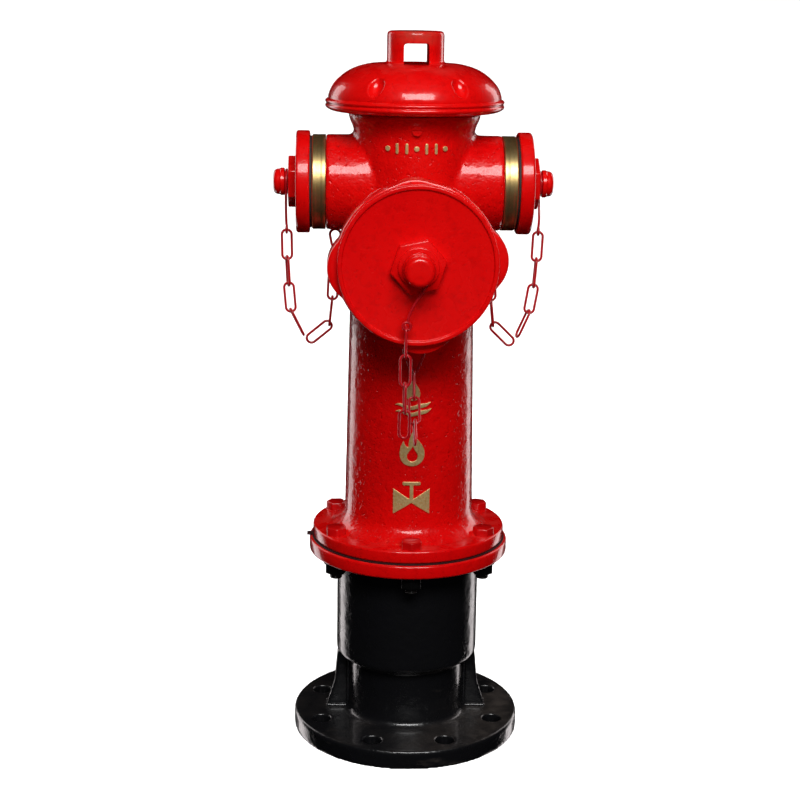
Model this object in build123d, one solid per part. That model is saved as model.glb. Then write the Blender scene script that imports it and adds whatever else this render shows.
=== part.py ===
from build123d import *
import os
from math import asin, cos, degrees, radians, sin, sqrt

os.makedirs("parts", exist_ok=True)

# Pillar fire hydrant, in millimetres. +Z is up and the origin is the centre of the base flange's
# underside. The large outlet faces -Y, the two small outlets face -X and +X.

# ---- clearances ----
FIT = 0.05            # radial running fit of a shaft in its bore
CLEAR = 0.3           # between pieces that move against each other
THREAD_CLEAR = 0.35   # radial play left between two threads, which are modelled plain
RIGHT = 90            # degrees

# ---- base casting ----
BASE_R = 110.0
BASE_T = 18.0
BASE_BORE_R = 50.0
BASE_BOLTS = 8
BASE_PCD = 180.0
BASE_HOLE_R = 9.0
NECK_R = 56.5
CHAMBER_R = 68.5
CHAMBER_BORE_R = 60.5
CHAMBER_Z = 78.0      # outside shoulder under the valve chamber
SEAT_Z = 86.0         # ledge inside, which carries the seat ring
SPIGOT_R = 66.5       # top of the chamber, which takes the lower flange
RIB_T = 12.0
RIB_TOP_R = 67.5
RIB_FOOT_R = 84.0
DRAIN_Z = 141.0

# ---- mid flange joint ----
JOINT_Z = 196.0       # top of the chamber
FLANGE_T = 13.0
JOINT_BOLTS = 6
JOINT_BOLT_D = 12.0
JOINT_HOLE_R = JOINT_BOLT_D / 2 + 0.75
BOLT_HEAD_AF = 1.5 * JOINT_BOLT_D
BOLT_HEAD_H = 0.625 * JOINT_BOLT_D
NUT_H = JOINT_BOLT_D * 5 / 6
WASHER_R = JOINT_BOLT_D
JOINT_PCD = 2 * (CHAMBER_R + WASHER_R)
LOWER_FLANGE_R = JOINT_PCD / 2 + 15.0
UPPER_FLANGE_R = JOINT_PCD / 2 + 11.5
GASKET_T = 1.2
GASKET_R = JOINT_PCD / 2 + 12.5
WASHER_T = 2.5
BOLT_TAIL = 5.0       # thread that stands out of the nut

# ---- barrel ----
BARREL_TOP = 597.0
BARREL_FOOT_R = 61.4
BARREL_TOP_R = 55.0
BARREL_WALL = 7.0
FOOT_FILLET = 9.0
TOP_LEDGE = 16.0      # thickness of the barrel's top, under the bonnet
TOP_BORE_R = 34.0

# ---- side outlets ----
SIDE_Z = BARREL_TOP - 60.0
SIDE_R = 43.8
SIDE_END = 81.0
SIDE_BORE_R = 32.5
SIDE_RING_R = 43.4
SIDE_RING_T = 12.5
SIDE_SPIGOT_R = 38.0
SIDE_SPIGOT_L = 15.0
SIDE_THREAD_R = 36.0
SIDE_CAP_R = 46.8
SIDE_CAP_GAP = 1.9
SIDE_CAP_T = 12.6
SIDE_PITCH = 4.0
SIDE_HEX_AF = 41.5
SIDE_HEX_T = 7.4
SIDE_BOSS_R = 12.6
SIDE_BOSS_L = 10.4

# ---- front outlet ----
FRONT_Z = BARREL_TOP - 118.0
FRONT_R = 59.5
FRONT_END = 84.0
FRONT_BORE_R = 46.0
FRONT_RING_R = 62.5
FRONT_RING_L = 24.0
FRONT_SPIGOT_R = 52.0
FRONT_SPIGOT_L = 14.0
FRONT_CAP_R = 70.0
FRONT_SKIRT_R = 71.5
FRONT_LOBE_R = 79.0
FRONT_LOBE_SIZE = 26.0
FRONT_LOBES = 8
FRONT_LOBE_TURN = -5.0
FRONT_SKIRT_GAP = 6.0   # from the end of the neck to the skirt
FRONT_SEAL_T = 3.7
FRONT_FACE_T = 10.0
FRONT_RIM_W = 4.0
FRONT_RIM_H = 2.0
FRONT_HEX_AF = 43.6
FRONT_HEX_T = 11.0
FRONT_BOSS_R = 14.25
FRONT_BOSS_L = 20.0
FRONT_HEX_TURN = 42.0

# ---- wire eyes and chains ----
WIRE_D = 2.4
GROOVE_PLAY = 0.45    # either side of the wire in the boss's groove
GROOVE_DEPTH = 3.6
EYE_TIP_R = 3.4
SIDE_EYE_DROP = 44.0
FRONT_EYE_DROP = 51.0
LINK_L = 30.0
LINK_W = 11.4
LINK_PLAY = 0.3

# ---- bonnet, nut and hat ----
BONNET_R = 52.5
BONNET_T = 9.0
BONNET_GASKET_T = 1.0
BONNET_SPIGOT_L = 38.0
BONNET_SCREW_R = 45.0
BONNET_SCREW_D = 8.0
SCREW_COUNT = 4
STEM_R = 12.0
STEM_TOP = BARREL_TOP + 3.0
JOURNAL_R = STEM_R + 5.15
PACKING_L = 12.0
PACKING_SEAT = 7.0
NUT_FLANGE_R = 25.0
NUT_FLANGE_T = 5.0
NUT_DRIVE_AF = 2 * STEM_R + 3.0
NUT_DRIVE_L = 23.0
RETAINER_R = 38.0
RETAINER_T = 3.5
RETAINER_SCREW_R = 32.0
RETAINER_SCREW_D = 6.0
HAT_R = 82.0
HAT_Z = BARREL_TOP + 5.4   # underside of the brim
HAT_LIP = 12.0        # height of the brim's beaded edge
HAT_SHOULDER_R = 44.0
DOME_TOP = BARREL_TOP + 47.0
HAT_WALL = 6.0
HAT_HUB_R = 24.0
BOSS_R = 26.0
BOSS_TOP = BARREL_TOP + 77.0
WINDOW_W = 21.0
WINDOW_H = 19.0
POCKETS = 6
POCKET_R = 8.0

# ---- valve ----
LIFT = 36.0
SEAT_BORE_R = BASE_BORE_R - 6.0
RUBBER_R = SEAT_BORE_R + 10.0
RUBBER_T = 13.0
SEAT_FLANGE_T = 6.0
SEAT_LIP_W = 4.0
SEAT_LIP_H = 2.0
SEAT_SKIRT_L = 14.0
PLATE_R = RUBBER_R - 4.0
PLATE_T = 10.0
LOWER_PLATE_R = SEAT_BORE_R - 2.0
LOWER_PLATE_T = 6.0
STEM_END_R = 10.0
STEM_SQUARE = 20.0
VALVE_NUT_AF = 30.0
VALVE_NUT_H = 16.0
GUIDE_T = 8.0
GUIDE_HUB_R = 18.0
GUIDE_ARM_W = 10.0

# ---- raised marks and small pieces ----
MARK_H = 1.6
PLUG_R = 6.5

LINK_R = (LINK_W - WIRE_D) / 2
LINK_RUN = LINK_L - WIRE_D


# ---------------------------------------------------------------- helpers
def tube(outer, inner, low, high):
    """A plain ring about Z, from one height to another."""
    ring = Pos(0, 0, low) * extrude(Circle(outer), high - low)
    if inner:
        ring -= Pos(0, 0, low - 1) * extrude(Circle(inner), high - low + 2)
    return ring


def hexagon(across_flats, low, high, turn=0.0):
    """A hexagonal prism about Z, with a vertex towards +X before it is turned."""
    outline = RegularPolygon(across_flats / sqrt(3), 6)
    return Pos(0, 0, low) * Rot(0, 0, turn) * extrude(outline, high - low)


def turned(points):
    """A solid of revolution about Z from (radius, height) corners."""
    outline = make_face(Polyline(*[(r, 0, z) for r, z in points], close=True))
    return revolve(outline, axis=Axis.Z, revolution_arc=360)


def around(shape, count, radius, start=0.0):
    """Equal copies on a circle about Z."""
    step = 360 / count
    return [Rot(0, 0, start + step * i) * Pos(radius, 0, 0) * shape for i in range(count)]


def on_left(shape):
    """From an outlet's own frame (axis +Z outwards) to the outlet that faces -X."""
    return Pos(0, 0, SIDE_Z) * Rot(0, -RIGHT, 0) * shape


def on_right(shape):
    return Pos(0, 0, SIDE_Z) * Rot(0, RIGHT, 0) * shape


def on_front(shape):
    return Pos(0, 0, FRONT_Z) * Rot(RIGHT, 0, 0) * shape


def wire_arc(centre_z, radius, start, sweep):
    """Part of a ring of wire in the XZ plane; angles run from +X towards +Z."""
    a = radians(start)
    out = Vector(cos(a), 0, sin(a))
    along = Vector(-sin(a), 0, cos(a))
    centre = Vector(0, 0, centre_z)
    section = Plane(origin=centre + out * radius, x_dir=out, z_dir=along) * Circle(WIRE_D / 2)
    return revolve(section, axis=Axis(tuple(centre), (0, -1, 0)), revolution_arc=sweep)


def wire_line(start, end):
    direction = end - start
    section = Plane(origin=start, z_dir=direction.normalized()) * Circle(WIRE_D / 2)
    return extrude(section, direction.length)


def wire_loop(top_r, bottom_r, span):
    """A closed loop of wire round two circles, the upper one at the origin, in the XZ plane."""
    slope = asin((bottom_r - top_r) / span)
    lean = degrees(slope)
    loop = wire_arc(0, top_r, lean, 180 - 2 * lean)
    loop += wire_arc(-span, bottom_r, 180 - lean, 180 + 2 * lean)
    for side in (1, -1):
        out = Vector(side * cos(slope), 0, sin(slope))
        loop += wire_line(out * top_r, Vector(0, 0, -span) + out * bottom_r)
    return loop


def link():
    """One chain link, hanging down from its upper wire's centre at the origin."""
    return Pos(0, 0, -LINK_R) * wire_loop(LINK_R, LINK_R, LINK_RUN - 2 * LINK_R)


def direction(lean, heading):
    """A unit vector: lean is measured from straight down, heading from +X towards +Y."""
    a, b = radians(lean), radians(heading)
    return Vector(sin(a) * cos(b), sin(a) * sin(b), -cos(a))


def chain(start, steps, first_seat):
    """Links hung from a point, each given as (lean, heading, twist about its own length).

    Where two links meet, their wires cross LINK_PLAY apart whatever the bend between them.
    first_seat is how far the first link's wire centre sits from the start point."""
    links = []
    rests = []
    joint = start
    seat = first_seat
    for i, (lean, heading, twist) in enumerate(steps):
        down = direction(lean, heading)
        across = Vector(0, 1, 0).cross(down).normalized().rotate(Axis((0, 0, 0), tuple(down)), twist)
        top = joint + down * (-seat)
        place = Plane(origin=top, x_dir=across, z_dir=down * -1)
        links.append(place * link())
        rests.append(top + down * LINK_RUN)
        if i + 1 < len(steps):
            after = direction(steps[i + 1][0], steps[i + 1][1])
            bend = radians(down.get_angle(after))
            seat = (WIRE_D + LINK_PLAY) / 2 / cos(bend / 2)
            joint = top + down * (LINK_RUN - seat)
    return links, rests


def barrel_r(z):
    """The barrel's outer radius at a height: it narrows evenly to the top."""
    share = (z - upper_flange_top) / (BARREL_TOP - upper_flange_top)
    return BARREL_FOOT_R + (BARREL_TOP_R - BARREL_FOOT_R) * share


def save(name, shapes):
    """Write one node. A list becomes a group of separate solids."""
    group = shapes if isinstance(shapes, list) else [shapes]
    solids = [s for shape in group for s in shape.solids()]
    export_step(Compound(children=solids) if len(solids) > 1 else solids[0], f"parts/{name}.step")
    print(f"{name:24s} {len(solids):3d} solids {sum(s.volume for s in solids) / 1000:10.2f} cm3")


# ---------------------------------------------------------------- base casting
lower_flange_z = JOINT_Z - FLANGE_T
barrel_z = JOINT_Z + GASKET_T
upper_flange_top = barrel_z + FLANGE_T - 1.0


def base_casting():
    body = tube(BASE_R, 0, 0, BASE_T)
    body = fillet(body.edges().group_by(Axis.Z)[-1], 2.5)
    body += tube(NECK_R, 0, BASE_T, CHAMBER_Z)
    foot = [e for e in body.edges() if abs(e.center().Z - BASE_T) < 0.01 and abs(e.radius - NECK_R) < 0.01]
    body = fillet(foot, 7)
    shoulder = CHAMBER_Z + 3
    body += turned([(0, CHAMBER_Z - 4), (NECK_R, CHAMBER_Z - 4), (CHAMBER_R - 2, CHAMBER_Z),
                    (CHAMBER_R, shoulder), (CHAMBER_R, lower_flange_z), (SPIGOT_R, lower_flange_z),
                    (SPIGOT_R, JOINT_Z), (0, JOINT_Z)])
    for side in (0, 180):
        outline = make_face(Polyline((0, 0, BASE_T - 1), (RIB_FOOT_R, 0, BASE_T - 1),
                                     (RIB_FOOT_R, 0, BASE_T + 6), (RIB_TOP_R + 4, 0, BASE_T + 26),
                                     (RIB_TOP_R, 0, CHAMBER_Z + 1), (0, 0, CHAMBER_Z + 1), close=True))
        rib = extrude(outline, RIB_T / 2, both=True)
        body += Rot(0, 0, side) * rib
    body -= tube(BASE_BORE_R, 0, -1, SEAT_Z + 1)
    body -= tube(CHAMBER_BORE_R, 0, SEAT_Z, JOINT_Z + 1)
    body -= tube(guide_r, 0, JOINT_Z - GUIDE_T, JOINT_Z + 1)
    hole = Pos(0, 0, -1) * extrude(Circle(BASE_HOLE_R), BASE_T + 2)
    for copy in around(hole, BASE_BOLTS, BASE_PCD / 2, 180 / BASE_BOLTS):
        body -= copy
    body -= drain_bush_blank()
    return body


guide_r = CHAMBER_BORE_R + 2.5
DRAIN_BUSH_R = 6.0


def drain_bush_blank():
    """The drain bush's outside, which is also the hole that it sits in, at the back of the chamber."""
    blank = extrude(Circle(DRAIN_BUSH_R), CHAMBER_R + 3 - CHAMBER_BORE_R)
    bush = Pos(0, CHAMBER_BORE_R, DRAIN_Z) * Rot(-RIGHT, 0, 0) * blank
    return bush - tube(CHAMBER_BORE_R, 0, DRAIN_Z - 20, DRAIN_Z + 20)


def drain_bush():
    bore = extrude(Circle(DRAIN_BUSH_R / 2), CHAMBER_R)
    return drain_bush_blank() - Pos(0, CHAMBER_BORE_R - 5, DRAIN_Z) * Rot(-RIGHT, 0, 0) * bore


def joint_holes(radius):
    """The six bolt holes through the mid flange joint, the first facing the front."""
    height = 2 * FLANGE_T + GASKET_T + 4
    hole = Pos(0, 0, lower_flange_z - 2) * extrude(Circle(radius), height)
    return around(hole, JOINT_BOLTS, JOINT_PCD / 2, -RIGHT)


def lower_flange():
    ring = tube(LOWER_FLANGE_R, 0, lower_flange_z, JOINT_Z)
    ring = fillet(ring.edges().filter_by(GeomType.CIRCLE), 2.0)
    ring -= tube(SPIGOT_R, 0, lower_flange_z - 1, JOINT_Z + 1)
    for hole in joint_holes(JOINT_HOLE_R):
        ring -= hole
    return ring


def flange_gasket():
    ring = tube(GASKET_R, guide_r - 4, JOINT_Z, barrel_z)
    tab = Pos(-GASKET_R, 0, JOINT_Z + GASKET_T / 2) * Box(10, 9, GASKET_T)
    ring += tab
    for hole in joint_holes(JOINT_HOLE_R):
        ring -= hole
    return ring


# ---------------------------------------------------------------- mid flange fasteners
nut_washer_z = lower_flange_z - WASHER_T
nut_z = nut_washer_z - NUT_H


def flange_bolt():
    head = hexagon(BOLT_HEAD_AF, upper_flange_top, upper_flange_top + BOLT_HEAD_H)
    crown_r = BOLT_HEAD_AF / sqrt(3)
    drop = 2.0
    top = upper_flange_top + BOLT_HEAD_H
    cone = turned([(0, upper_flange_top - 1), (crown_r + 1, upper_flange_top - 1), (crown_r + 1, top - drop),
                   (BOLT_HEAD_AF / 2 - 1, top), (0, top)])
    shank = tube(JOINT_BOLT_D / 2, 0, nut_z - BOLT_TAIL, upper_flange_top)
    shank = chamfer(shank.edges().group_by(Axis.Z)[0], 1.0)
    return (head & cone) + shank


def flange_nut():
    nut = hexagon(BOLT_HEAD_AF, nut_z, nut_washer_z)
    return nut - tube(JOINT_BOLT_D / 2, 0, nut_z - 1, nut_washer_z + 1)


def flange_washer():
    return tube(WASHER_R, JOINT_BOLT_D / 2 + 0.5, nut_washer_z, lower_flange_z)


# ---------------------------------------------------------------- barrel
def bonnet_holes(low, high):
    """The holes of the screws that hold the bonnet to the barrel, between two heights."""
    return around(tube(BONNET_SCREW_D / 2, 0, low, high), SCREW_COUNT, BONNET_SCREW_R, 45)


def barrel():
    flange = tube(UPPER_FLANGE_R, 0, barrel_z, upper_flange_top)
    flange = fillet(flange.edges().filter_by(GeomType.CIRCLE), 2.0)
    body = flange + turned([(0, barrel_z), (BARREL_FOOT_R, barrel_z), (BARREL_FOOT_R, upper_flange_top),
                            (BARREL_TOP_R, BARREL_TOP), (0, BARREL_TOP)])
    foot = [e for e in body.edges().filter_by(GeomType.CIRCLE)
            if abs(e.center().Z - upper_flange_top) < 0.01 and abs(e.radius - BARREL_FOOT_R) < 0.1]
    body = fillet(foot, FOOT_FILLET)
    for place in (on_left, on_right):
        body += place(tube(SIDE_R, 0, 0, SIDE_END))
    body += on_front(tube(FRONT_R, 0, 0, FRONT_END))
    ledge_z = BARREL_TOP - TOP_LEDGE
    wall = BARREL_WALL
    body -= turned([(0, barrel_z - 1), (BARREL_FOOT_R - wall, barrel_z - 1),
                    (BARREL_FOOT_R - wall, upper_flange_top), (barrel_r(ledge_z) - wall, ledge_z - 8),
                    (TOP_BORE_R, ledge_z), (TOP_BORE_R, BARREL_TOP + 1), (0, BARREL_TOP + 1)])
    for place in (on_left, on_right):
        body -= place(tube(SIDE_BORE_R, 0, 0, SIDE_END + 1))
        body -= place(tube(SIDE_SPIGOT_R, 0, SIDE_END - SIDE_SPIGOT_L, SIDE_END + 1))
    body -= on_front(tube(FRONT_BORE_R, 0, 0, FRONT_END + 1))
    body -= on_front(tube(FRONT_SPIGOT_R, 0, FRONT_END - FRONT_SPIGOT_L, FRONT_END + 1))
    for hole in joint_holes(JOINT_HOLE_R):
        body -= hole
    for hole in bonnet_holes(ledge_z + 2, BARREL_TOP + 1):
        body -= hole
    body -= neck_plug_at(extrude(Circle(PLUG_R - 2), 8))
    for loop in anchor_loops():
        body -= loop
    return body


plug_z = BARREL_TOP - PLUG_R + 0.5


def neck_plug_at(shape):
    """Carry a shape from its own frame to the neck's front, under the brim."""
    return Pos(0, -(barrel_r(plug_z) - 5), plug_z - 2) * Rot(RIGHT, 0, 0) * shape


def neck_plug():
    plug = extrude(Circle(PLUG_R - 2), 8) + Pos(0, 0, 6) * extrude(Circle(PLUG_R - 2), 3)
    plug -= Pos(0, 0, 9) * Box(2 * PLUG_R, 1.6, 3)
    return neck_plug_at(plug)


# ---------------------------------------------------------------- outlet rings
def side_ring():
    """Brass ring in its own frame: it is screwed into the neck and takes the cap's thread."""
    end = SIDE_END + SIDE_RING_T
    ring = tube(SIDE_RING_R, 0, SIDE_END, end)
    ring = chamfer(ring.edges().group_by(Axis.Z)[-1], 0.8)
    ring += tube(SIDE_SPIGOT_R, 0, SIDE_END - SIDE_SPIGOT_L, SIDE_END)
    ring -= tube(SIDE_BORE_R, 0, SIDE_END - SIDE_SPIGOT_L - 1, end + 1)
    return ring - tube(SIDE_THREAD_R, 0, SIDE_END - 1, end + 1)


def front_ring():
    end = FRONT_END + FRONT_RING_L
    ring = tube(FRONT_RING_R, 0, FRONT_END, end)
    ring = chamfer(ring.edges().group_by(Axis.Z)[-1], 1.5)
    ring += tube(FRONT_SPIGOT_R, 0, FRONT_END - FRONT_SPIGOT_L, FRONT_END)
    return ring - tube(FRONT_BORE_R, 0, FRONT_END - FRONT_SPIGOT_L - 1, end + 1)


# ---------------------------------------------------------------- caps, in their own frames
def boss_profile(base, groove_z, groove_w, boss_r, boss_l):
    """Grooved boss on a cap's hex: the eye's wire lies in the groove."""
    root_r = boss_r - GROOVE_DEPTH
    end = groove_z + groove_w + boss_l
    return turned([(0, base), (boss_r, base), (boss_r, groove_z - 0.01), (root_r, groove_z),
                   (root_r, groove_z + groove_w), (boss_r, groove_z + groove_w), (boss_r, end - 1.5),
                   (boss_r - 2.5, end), (0, end)])


GROOVE_W = WIRE_D + 2 * GROOVE_PLAY
side_cap_z = SIDE_END + SIDE_RING_T + SIDE_CAP_GAP
side_hex_z = side_cap_z + SIDE_CAP_T
side_groove_z = side_hex_z + SIDE_HEX_T
front_skirt_z = FRONT_END + FRONT_SKIRT_GAP
front_face_z = FRONT_END + FRONT_RING_L + CLEAR + FRONT_SEAL_T
front_hex_z = front_face_z + FRONT_FACE_T
front_groove_z = front_hex_z + FRONT_HEX_T


def side_cap():
    disc = tube(SIDE_CAP_R, 0, side_cap_z, side_hex_z)
    disc = fillet(disc.edges().filter_by(GeomType.CIRCLE), 1.5)
    plug_end = SIDE_END + 2
    disc += tube(SIDE_THREAD_R - THREAD_CLEAR, SIDE_THREAD_R - 6, plug_end, side_cap_z)
    nut = hexagon(SIDE_HEX_AF, side_hex_z, side_groove_z, 30)
    disc += chamfer(nut.edges().group_by(Axis.Z)[-1], 1.0)
    return disc + boss_profile(side_groove_z - 1, side_groove_z, GROOVE_W, SIDE_BOSS_R, SIDE_BOSS_L)


def side_seal():
    return tube(SIDE_RING_R - 1.4, SIDE_THREAD_R + 0.3, SIDE_END + SIDE_RING_T + CLEAR, side_cap_z)


def front_cap():
    skirt = tube(FRONT_SKIRT_R, 0, front_skirt_z, front_hex_z - 6)
    lobe = tube(FRONT_LOBE_SIZE, 0, front_skirt_z, front_hex_z - 6)
    for copy in around(lobe, FRONT_LOBES, FRONT_LOBE_R - FRONT_LOBE_SIZE, FRONT_LOBE_TURN):
        skirt += copy
    body = skirt + tube(FRONT_CAP_R, 0, front_face_z, front_hex_z + FRONT_RIM_H)
    body -= tube(FRONT_CAP_R - FRONT_RIM_W, 0, front_hex_z, front_hex_z + FRONT_RIM_H + 1)
    rim_z = front_hex_z + FRONT_RIM_H
    crown = [e for e in body.edges().filter_by(GeomType.CIRCLE) if e.center().Z > rim_z - 0.1]
    body = fillet(crown, 0.9)
    body -= tube(FRONT_RING_R + THREAD_CLEAR, 0, front_skirt_z - 1, front_face_z)
    nut = hexagon(FRONT_HEX_AF, front_hex_z, front_groove_z, FRONT_HEX_TURN)
    body += chamfer(nut.edges().group_by(Axis.Z)[-1], 1.2)
    return body + boss_profile(front_groove_z - 1, front_groove_z, GROOVE_W, FRONT_BOSS_R, FRONT_BOSS_L)


def front_seal():
    return tube(FRONT_RING_R - 1.5, FRONT_BORE_R + 3, FRONT_END + FRONT_RING_L + CLEAR, front_face_z)


# ---------------------------------------------------------------- wire eyes and chains
def eye(boss_r, drop):
    """The eye's centreline clears the groove's root by half the wire and the running play."""
    return wire_loop(boss_r - GROOVE_DEPTH + GROOVE_PLAY + WIRE_D / 2, EYE_TIP_R, drop)


side_eye_at = side_groove_z + GROOVE_W / 2
front_eye_at = front_groove_z + GROOVE_W / 2
FRONT_EYE_LEAN = 11.0
tip_drop = SIDE_EYE_DROP + EYE_TIP_R
left_tip = Vector(-side_eye_at, 0, SIDE_Z - tip_drop)
right_tip = Vector(side_eye_at, 0, SIDE_Z - tip_drop)
front_hub = Vector(0, -front_eye_at, FRONT_Z)
front_tip = front_hub + direction(FRONT_EYE_LEAN, 180) * (FRONT_EYE_DROP + EYE_TIP_R)
EYE_SEAT = WIRE_D + LINK_PLAY

# Each link as (lean from straight down, heading, twist). The falls hang from the eyes and the
# returns hang from the anchors on the barrel; between the two, the loop's last meeting is open.
LEFT_FALL = [(1, 0, 0), (3, 0, 75), (5, 0, 0), (27, -6, 80)]
RIGHT_FALL = [(-2, 0, 0), (-4, 0, 90), (-9, 0, 5), (-24, 6, 80)]
FRONT_FALL = [(1, -90, 90), (2, 90, 5), (4, 90, 85), (14, 90, 5)]
LEFT_RETURN = [(3, 180, 90), (3, 180, 0), (6, 180, 90), (51, 184, 0)]
RIGHT_RETURN = [(3, 0, 90), (3, 0, 0), (6, 0, 90), (46, -4, 0)]
FRONT_RETURN = [(20, -90, 90), (44, -90, 5), (60, -90, 85)]

# Each anchor is a loop of wire under an outlet's neck. Its top arc is let into the neck by half
# the wire, and the return hangs from its tip.
FRONT_LOOP_R = 13.0
FRONT_LOOP_DROP = 29.0
FRONT_LOOP_OUT = 74.0
SIDE_LOOP_R = 5.0
SIDE_LOOP_DROP = 8.0
SIDE_LOOP_OUT = 72.0
front_loop_top = Vector(0, -FRONT_LOOP_OUT, FRONT_Z - FRONT_R - FRONT_LOOP_R)
left_loop_top = Vector(-SIDE_LOOP_OUT, 0, SIDE_Z - SIDE_R - SIDE_LOOP_R)
right_loop_top = Vector(SIDE_LOOP_OUT, 0, SIDE_Z - SIDE_R - SIDE_LOOP_R)


def anchor_loops():
    side = wire_loop(SIDE_LOOP_R, EYE_TIP_R, SIDE_LOOP_DROP)
    front = wire_loop(FRONT_LOOP_R, EYE_TIP_R, FRONT_LOOP_DROP)
    return [Pos(left_loop_top) * side, Pos(right_loop_top) * side, Pos(front_loop_top) * front]


def loop_tip(top, drop):
    """The lowest point of a loop's wire centreline."""
    return top - Vector(0, 0, drop + EYE_TIP_R)


# ---------------------------------------------------------------- bonnet, nut and hat
bonnet_z = BARREL_TOP + BONNET_GASKET_T
bonnet_top = bonnet_z + BONNET_T
bonnet_low = BARREL_TOP - BONNET_SPIGOT_L
packing_z = bonnet_low + PACKING_SEAT
journal_z = packing_z + PACKING_L + CLEAR
nut_flange_z = bonnet_top + CLEAR
retainer_z = nut_flange_z + NUT_FLANGE_T + CLEAR
retainer_top = retainer_z + RETAINER_T
nut_drive_z = nut_flange_z + NUT_FLANGE_T
nut_top = nut_drive_z + NUT_DRIVE_L
hub_z = retainer_top + 1.0


def bonnet_gasket():
    ring = tube(BONNET_R, TOP_BORE_R, BARREL_TOP, bonnet_z)
    for hole in bonnet_holes(BARREL_TOP - 1, bonnet_z + 1):
        ring -= hole
    return ring


def bonnet():
    body = tube(BONNET_R, 0, bonnet_z, bonnet_top)
    body = chamfer(body.edges().group_by(Axis.Z)[-1], 1.5)
    body += tube(TOP_BORE_R - 0.1, 0, BARREL_TOP - TOP_LEDGE, bonnet_z)
    body += tube(JOURNAL_R + 9, 0, bonnet_low, bonnet_z)
    body -= tube(STEM_R + CLEAR, 0, bonnet_low - 1, bonnet_top + 1)
    body -= tube(JOURNAL_R + FIT, 0, packing_z, bonnet_top + 1)
    for hole in bonnet_holes(bonnet_z - 1, bonnet_top + 1):
        body -= hole
    depth = BONNET_T - 1
    for hole in around(tube(RETAINER_SCREW_D / 2, 0, bonnet_top - depth, bonnet_top + 1),
                       SCREW_COUNT, RETAINER_SCREW_R):
        body -= hole
    return body


def socket_screw(diameter, low, seat, head_h):
    """A cap screw about Z: its head rests on seat."""
    head = tube(diameter * 0.78, 0, seat, seat + head_h)
    head = chamfer(head.edges().group_by(Axis.Z)[-1], 0.5)
    screw = head + tube(diameter / 2, 0, low, seat)
    return screw - hexagon(diameter * 0.78, seat + head_h / 2, seat + head_h + 1)


def stem_packing():
    return tube(JOURNAL_R + FIT, STEM_R + FIT, packing_z, packing_z + PACKING_L)


def nut_retainer():
    body = tube(RETAINER_R, NUT_FLANGE_R + CLEAR, bonnet_top, retainer_z)
    body += tube(RETAINER_R, NUT_DRIVE_AF / sqrt(3) + CLEAR, retainer_z, retainer_top)
    hole = tube(RETAINER_SCREW_D / 2, 0, bonnet_top - 1, retainer_top + 1)
    for copy in around(hole, SCREW_COUNT, RETAINER_SCREW_R):
        body -= copy
    return body


def stem_nut():
    nut = tube(JOURNAL_R, 0, journal_z, nut_flange_z)
    nut += tube(NUT_FLANGE_R, 0, nut_flange_z, nut_drive_z)
    nut += hexagon(NUT_DRIVE_AF, nut_drive_z, nut_top)
    return nut - tube(STEM_R + FIT, 0, journal_z - 1, nut_top + 1)


def hat_outline():
    """Half section of the hat's outside: brim with two beads, shoulder, and top."""
    lip_top = HAT_Z + HAT_LIP
    bead = HAT_Z + 7
    low = Line((0, 0, HAT_Z), (HAT_R - 8, 0, HAT_Z))
    under = ThreePointArc((HAT_R - 8, 0, HAT_Z), (HAT_R - 3.6, 0, HAT_Z + 1.0), (HAT_R - 0.9, 0, HAT_Z + 3.4))
    bead_1 = ThreePointArc(under @ 1, (HAT_R - 0.1, 0, HAT_Z + 5.0), (HAT_R - 0.9, 0, bead))
    bead_2 = ThreePointArc(bead_1 @ 1, (HAT_R, 0, bead + 1.8), (HAT_R - 1.4, 0, bead + 3.5))
    neck = Line(bead_2 @ 1, (HAT_R - 2.6, 0, lip_top))
    shoulder = ThreePointArc(neck @ 1, (HAT_R - 15.6, 0, DOME_TOP - 11.6), (HAT_SHOULDER_R, 0, DOME_TOP))
    top = Line(shoulder @ 1, (BOSS_R - 2, 0, DOME_TOP + 1.2))
    close = Polyline(top @ 1, (0, 0, DOME_TOP + 1.2), (0, 0, HAT_Z))
    return make_face([low, under, bead_1, bead_2, neck, shoulder, top, close])


def hat():
    body = revolve(hat_outline(), axis=Axis.Z, revolution_arc=360)
    boss = tube(BOSS_R, 0, DOME_TOP - 2, BOSS_TOP)
    boss = fillet(boss.edges().group_by(Axis.Z)[-1], 3.0)
    body += boss
    root = [e for e in body.edges().filter_by(GeomType.CIRCLE)
            if abs(e.radius - BOSS_R) < 0.1 and e.center().Z < DOME_TOP + 5]
    body = fillet(root, 2.0)
    inner_r = HAT_R - 14
    skin_r = HAT_SHOULDER_R - 4
    ceiling = DOME_TOP - HAT_WALL
    rim = Line((HAT_HUB_R, 0, HAT_Z - 1), (inner_r, 0, HAT_Z - 1))
    side = Line((inner_r, 0, HAT_Z - 1), (inner_r, 0, HAT_Z + HAT_LIP))
    curve = ThreePointArc(side @ 1, (HAT_R - 22, 0, DOME_TOP - 18.5), (skin_r, 0, ceiling))
    roof = Line(curve @ 1, (HAT_HUB_R, 0, ceiling))
    hub_side = Line(roof @ 1, rim @ 0)
    body -= revolve(make_face([rim, side, curve, roof, hub_side]), axis=Axis.Z, revolution_arc=360)
    body -= tube(HAT_HUB_R + 1, 0, HAT_Z - 2, hub_z)
    body -= hexagon(NUT_DRIVE_AF, hub_z - 1, nut_top)
    body -= tube(STEM_R + CLEAR, 0, nut_top - 1, STEM_TOP + LIFT + 2)
    body -= Pos(0, 0, DOME_TOP + WINDOW_H / 2) * Box(WINDOW_W, 4 * BOSS_R, WINDOW_H)
    for screw in hat_screw_blanks():
        body -= screw
    for pocket in around(thumb_pocket(), POCKETS, 0, -RIGHT + 180 / POCKETS):
        body -= pocket
    return body


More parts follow.
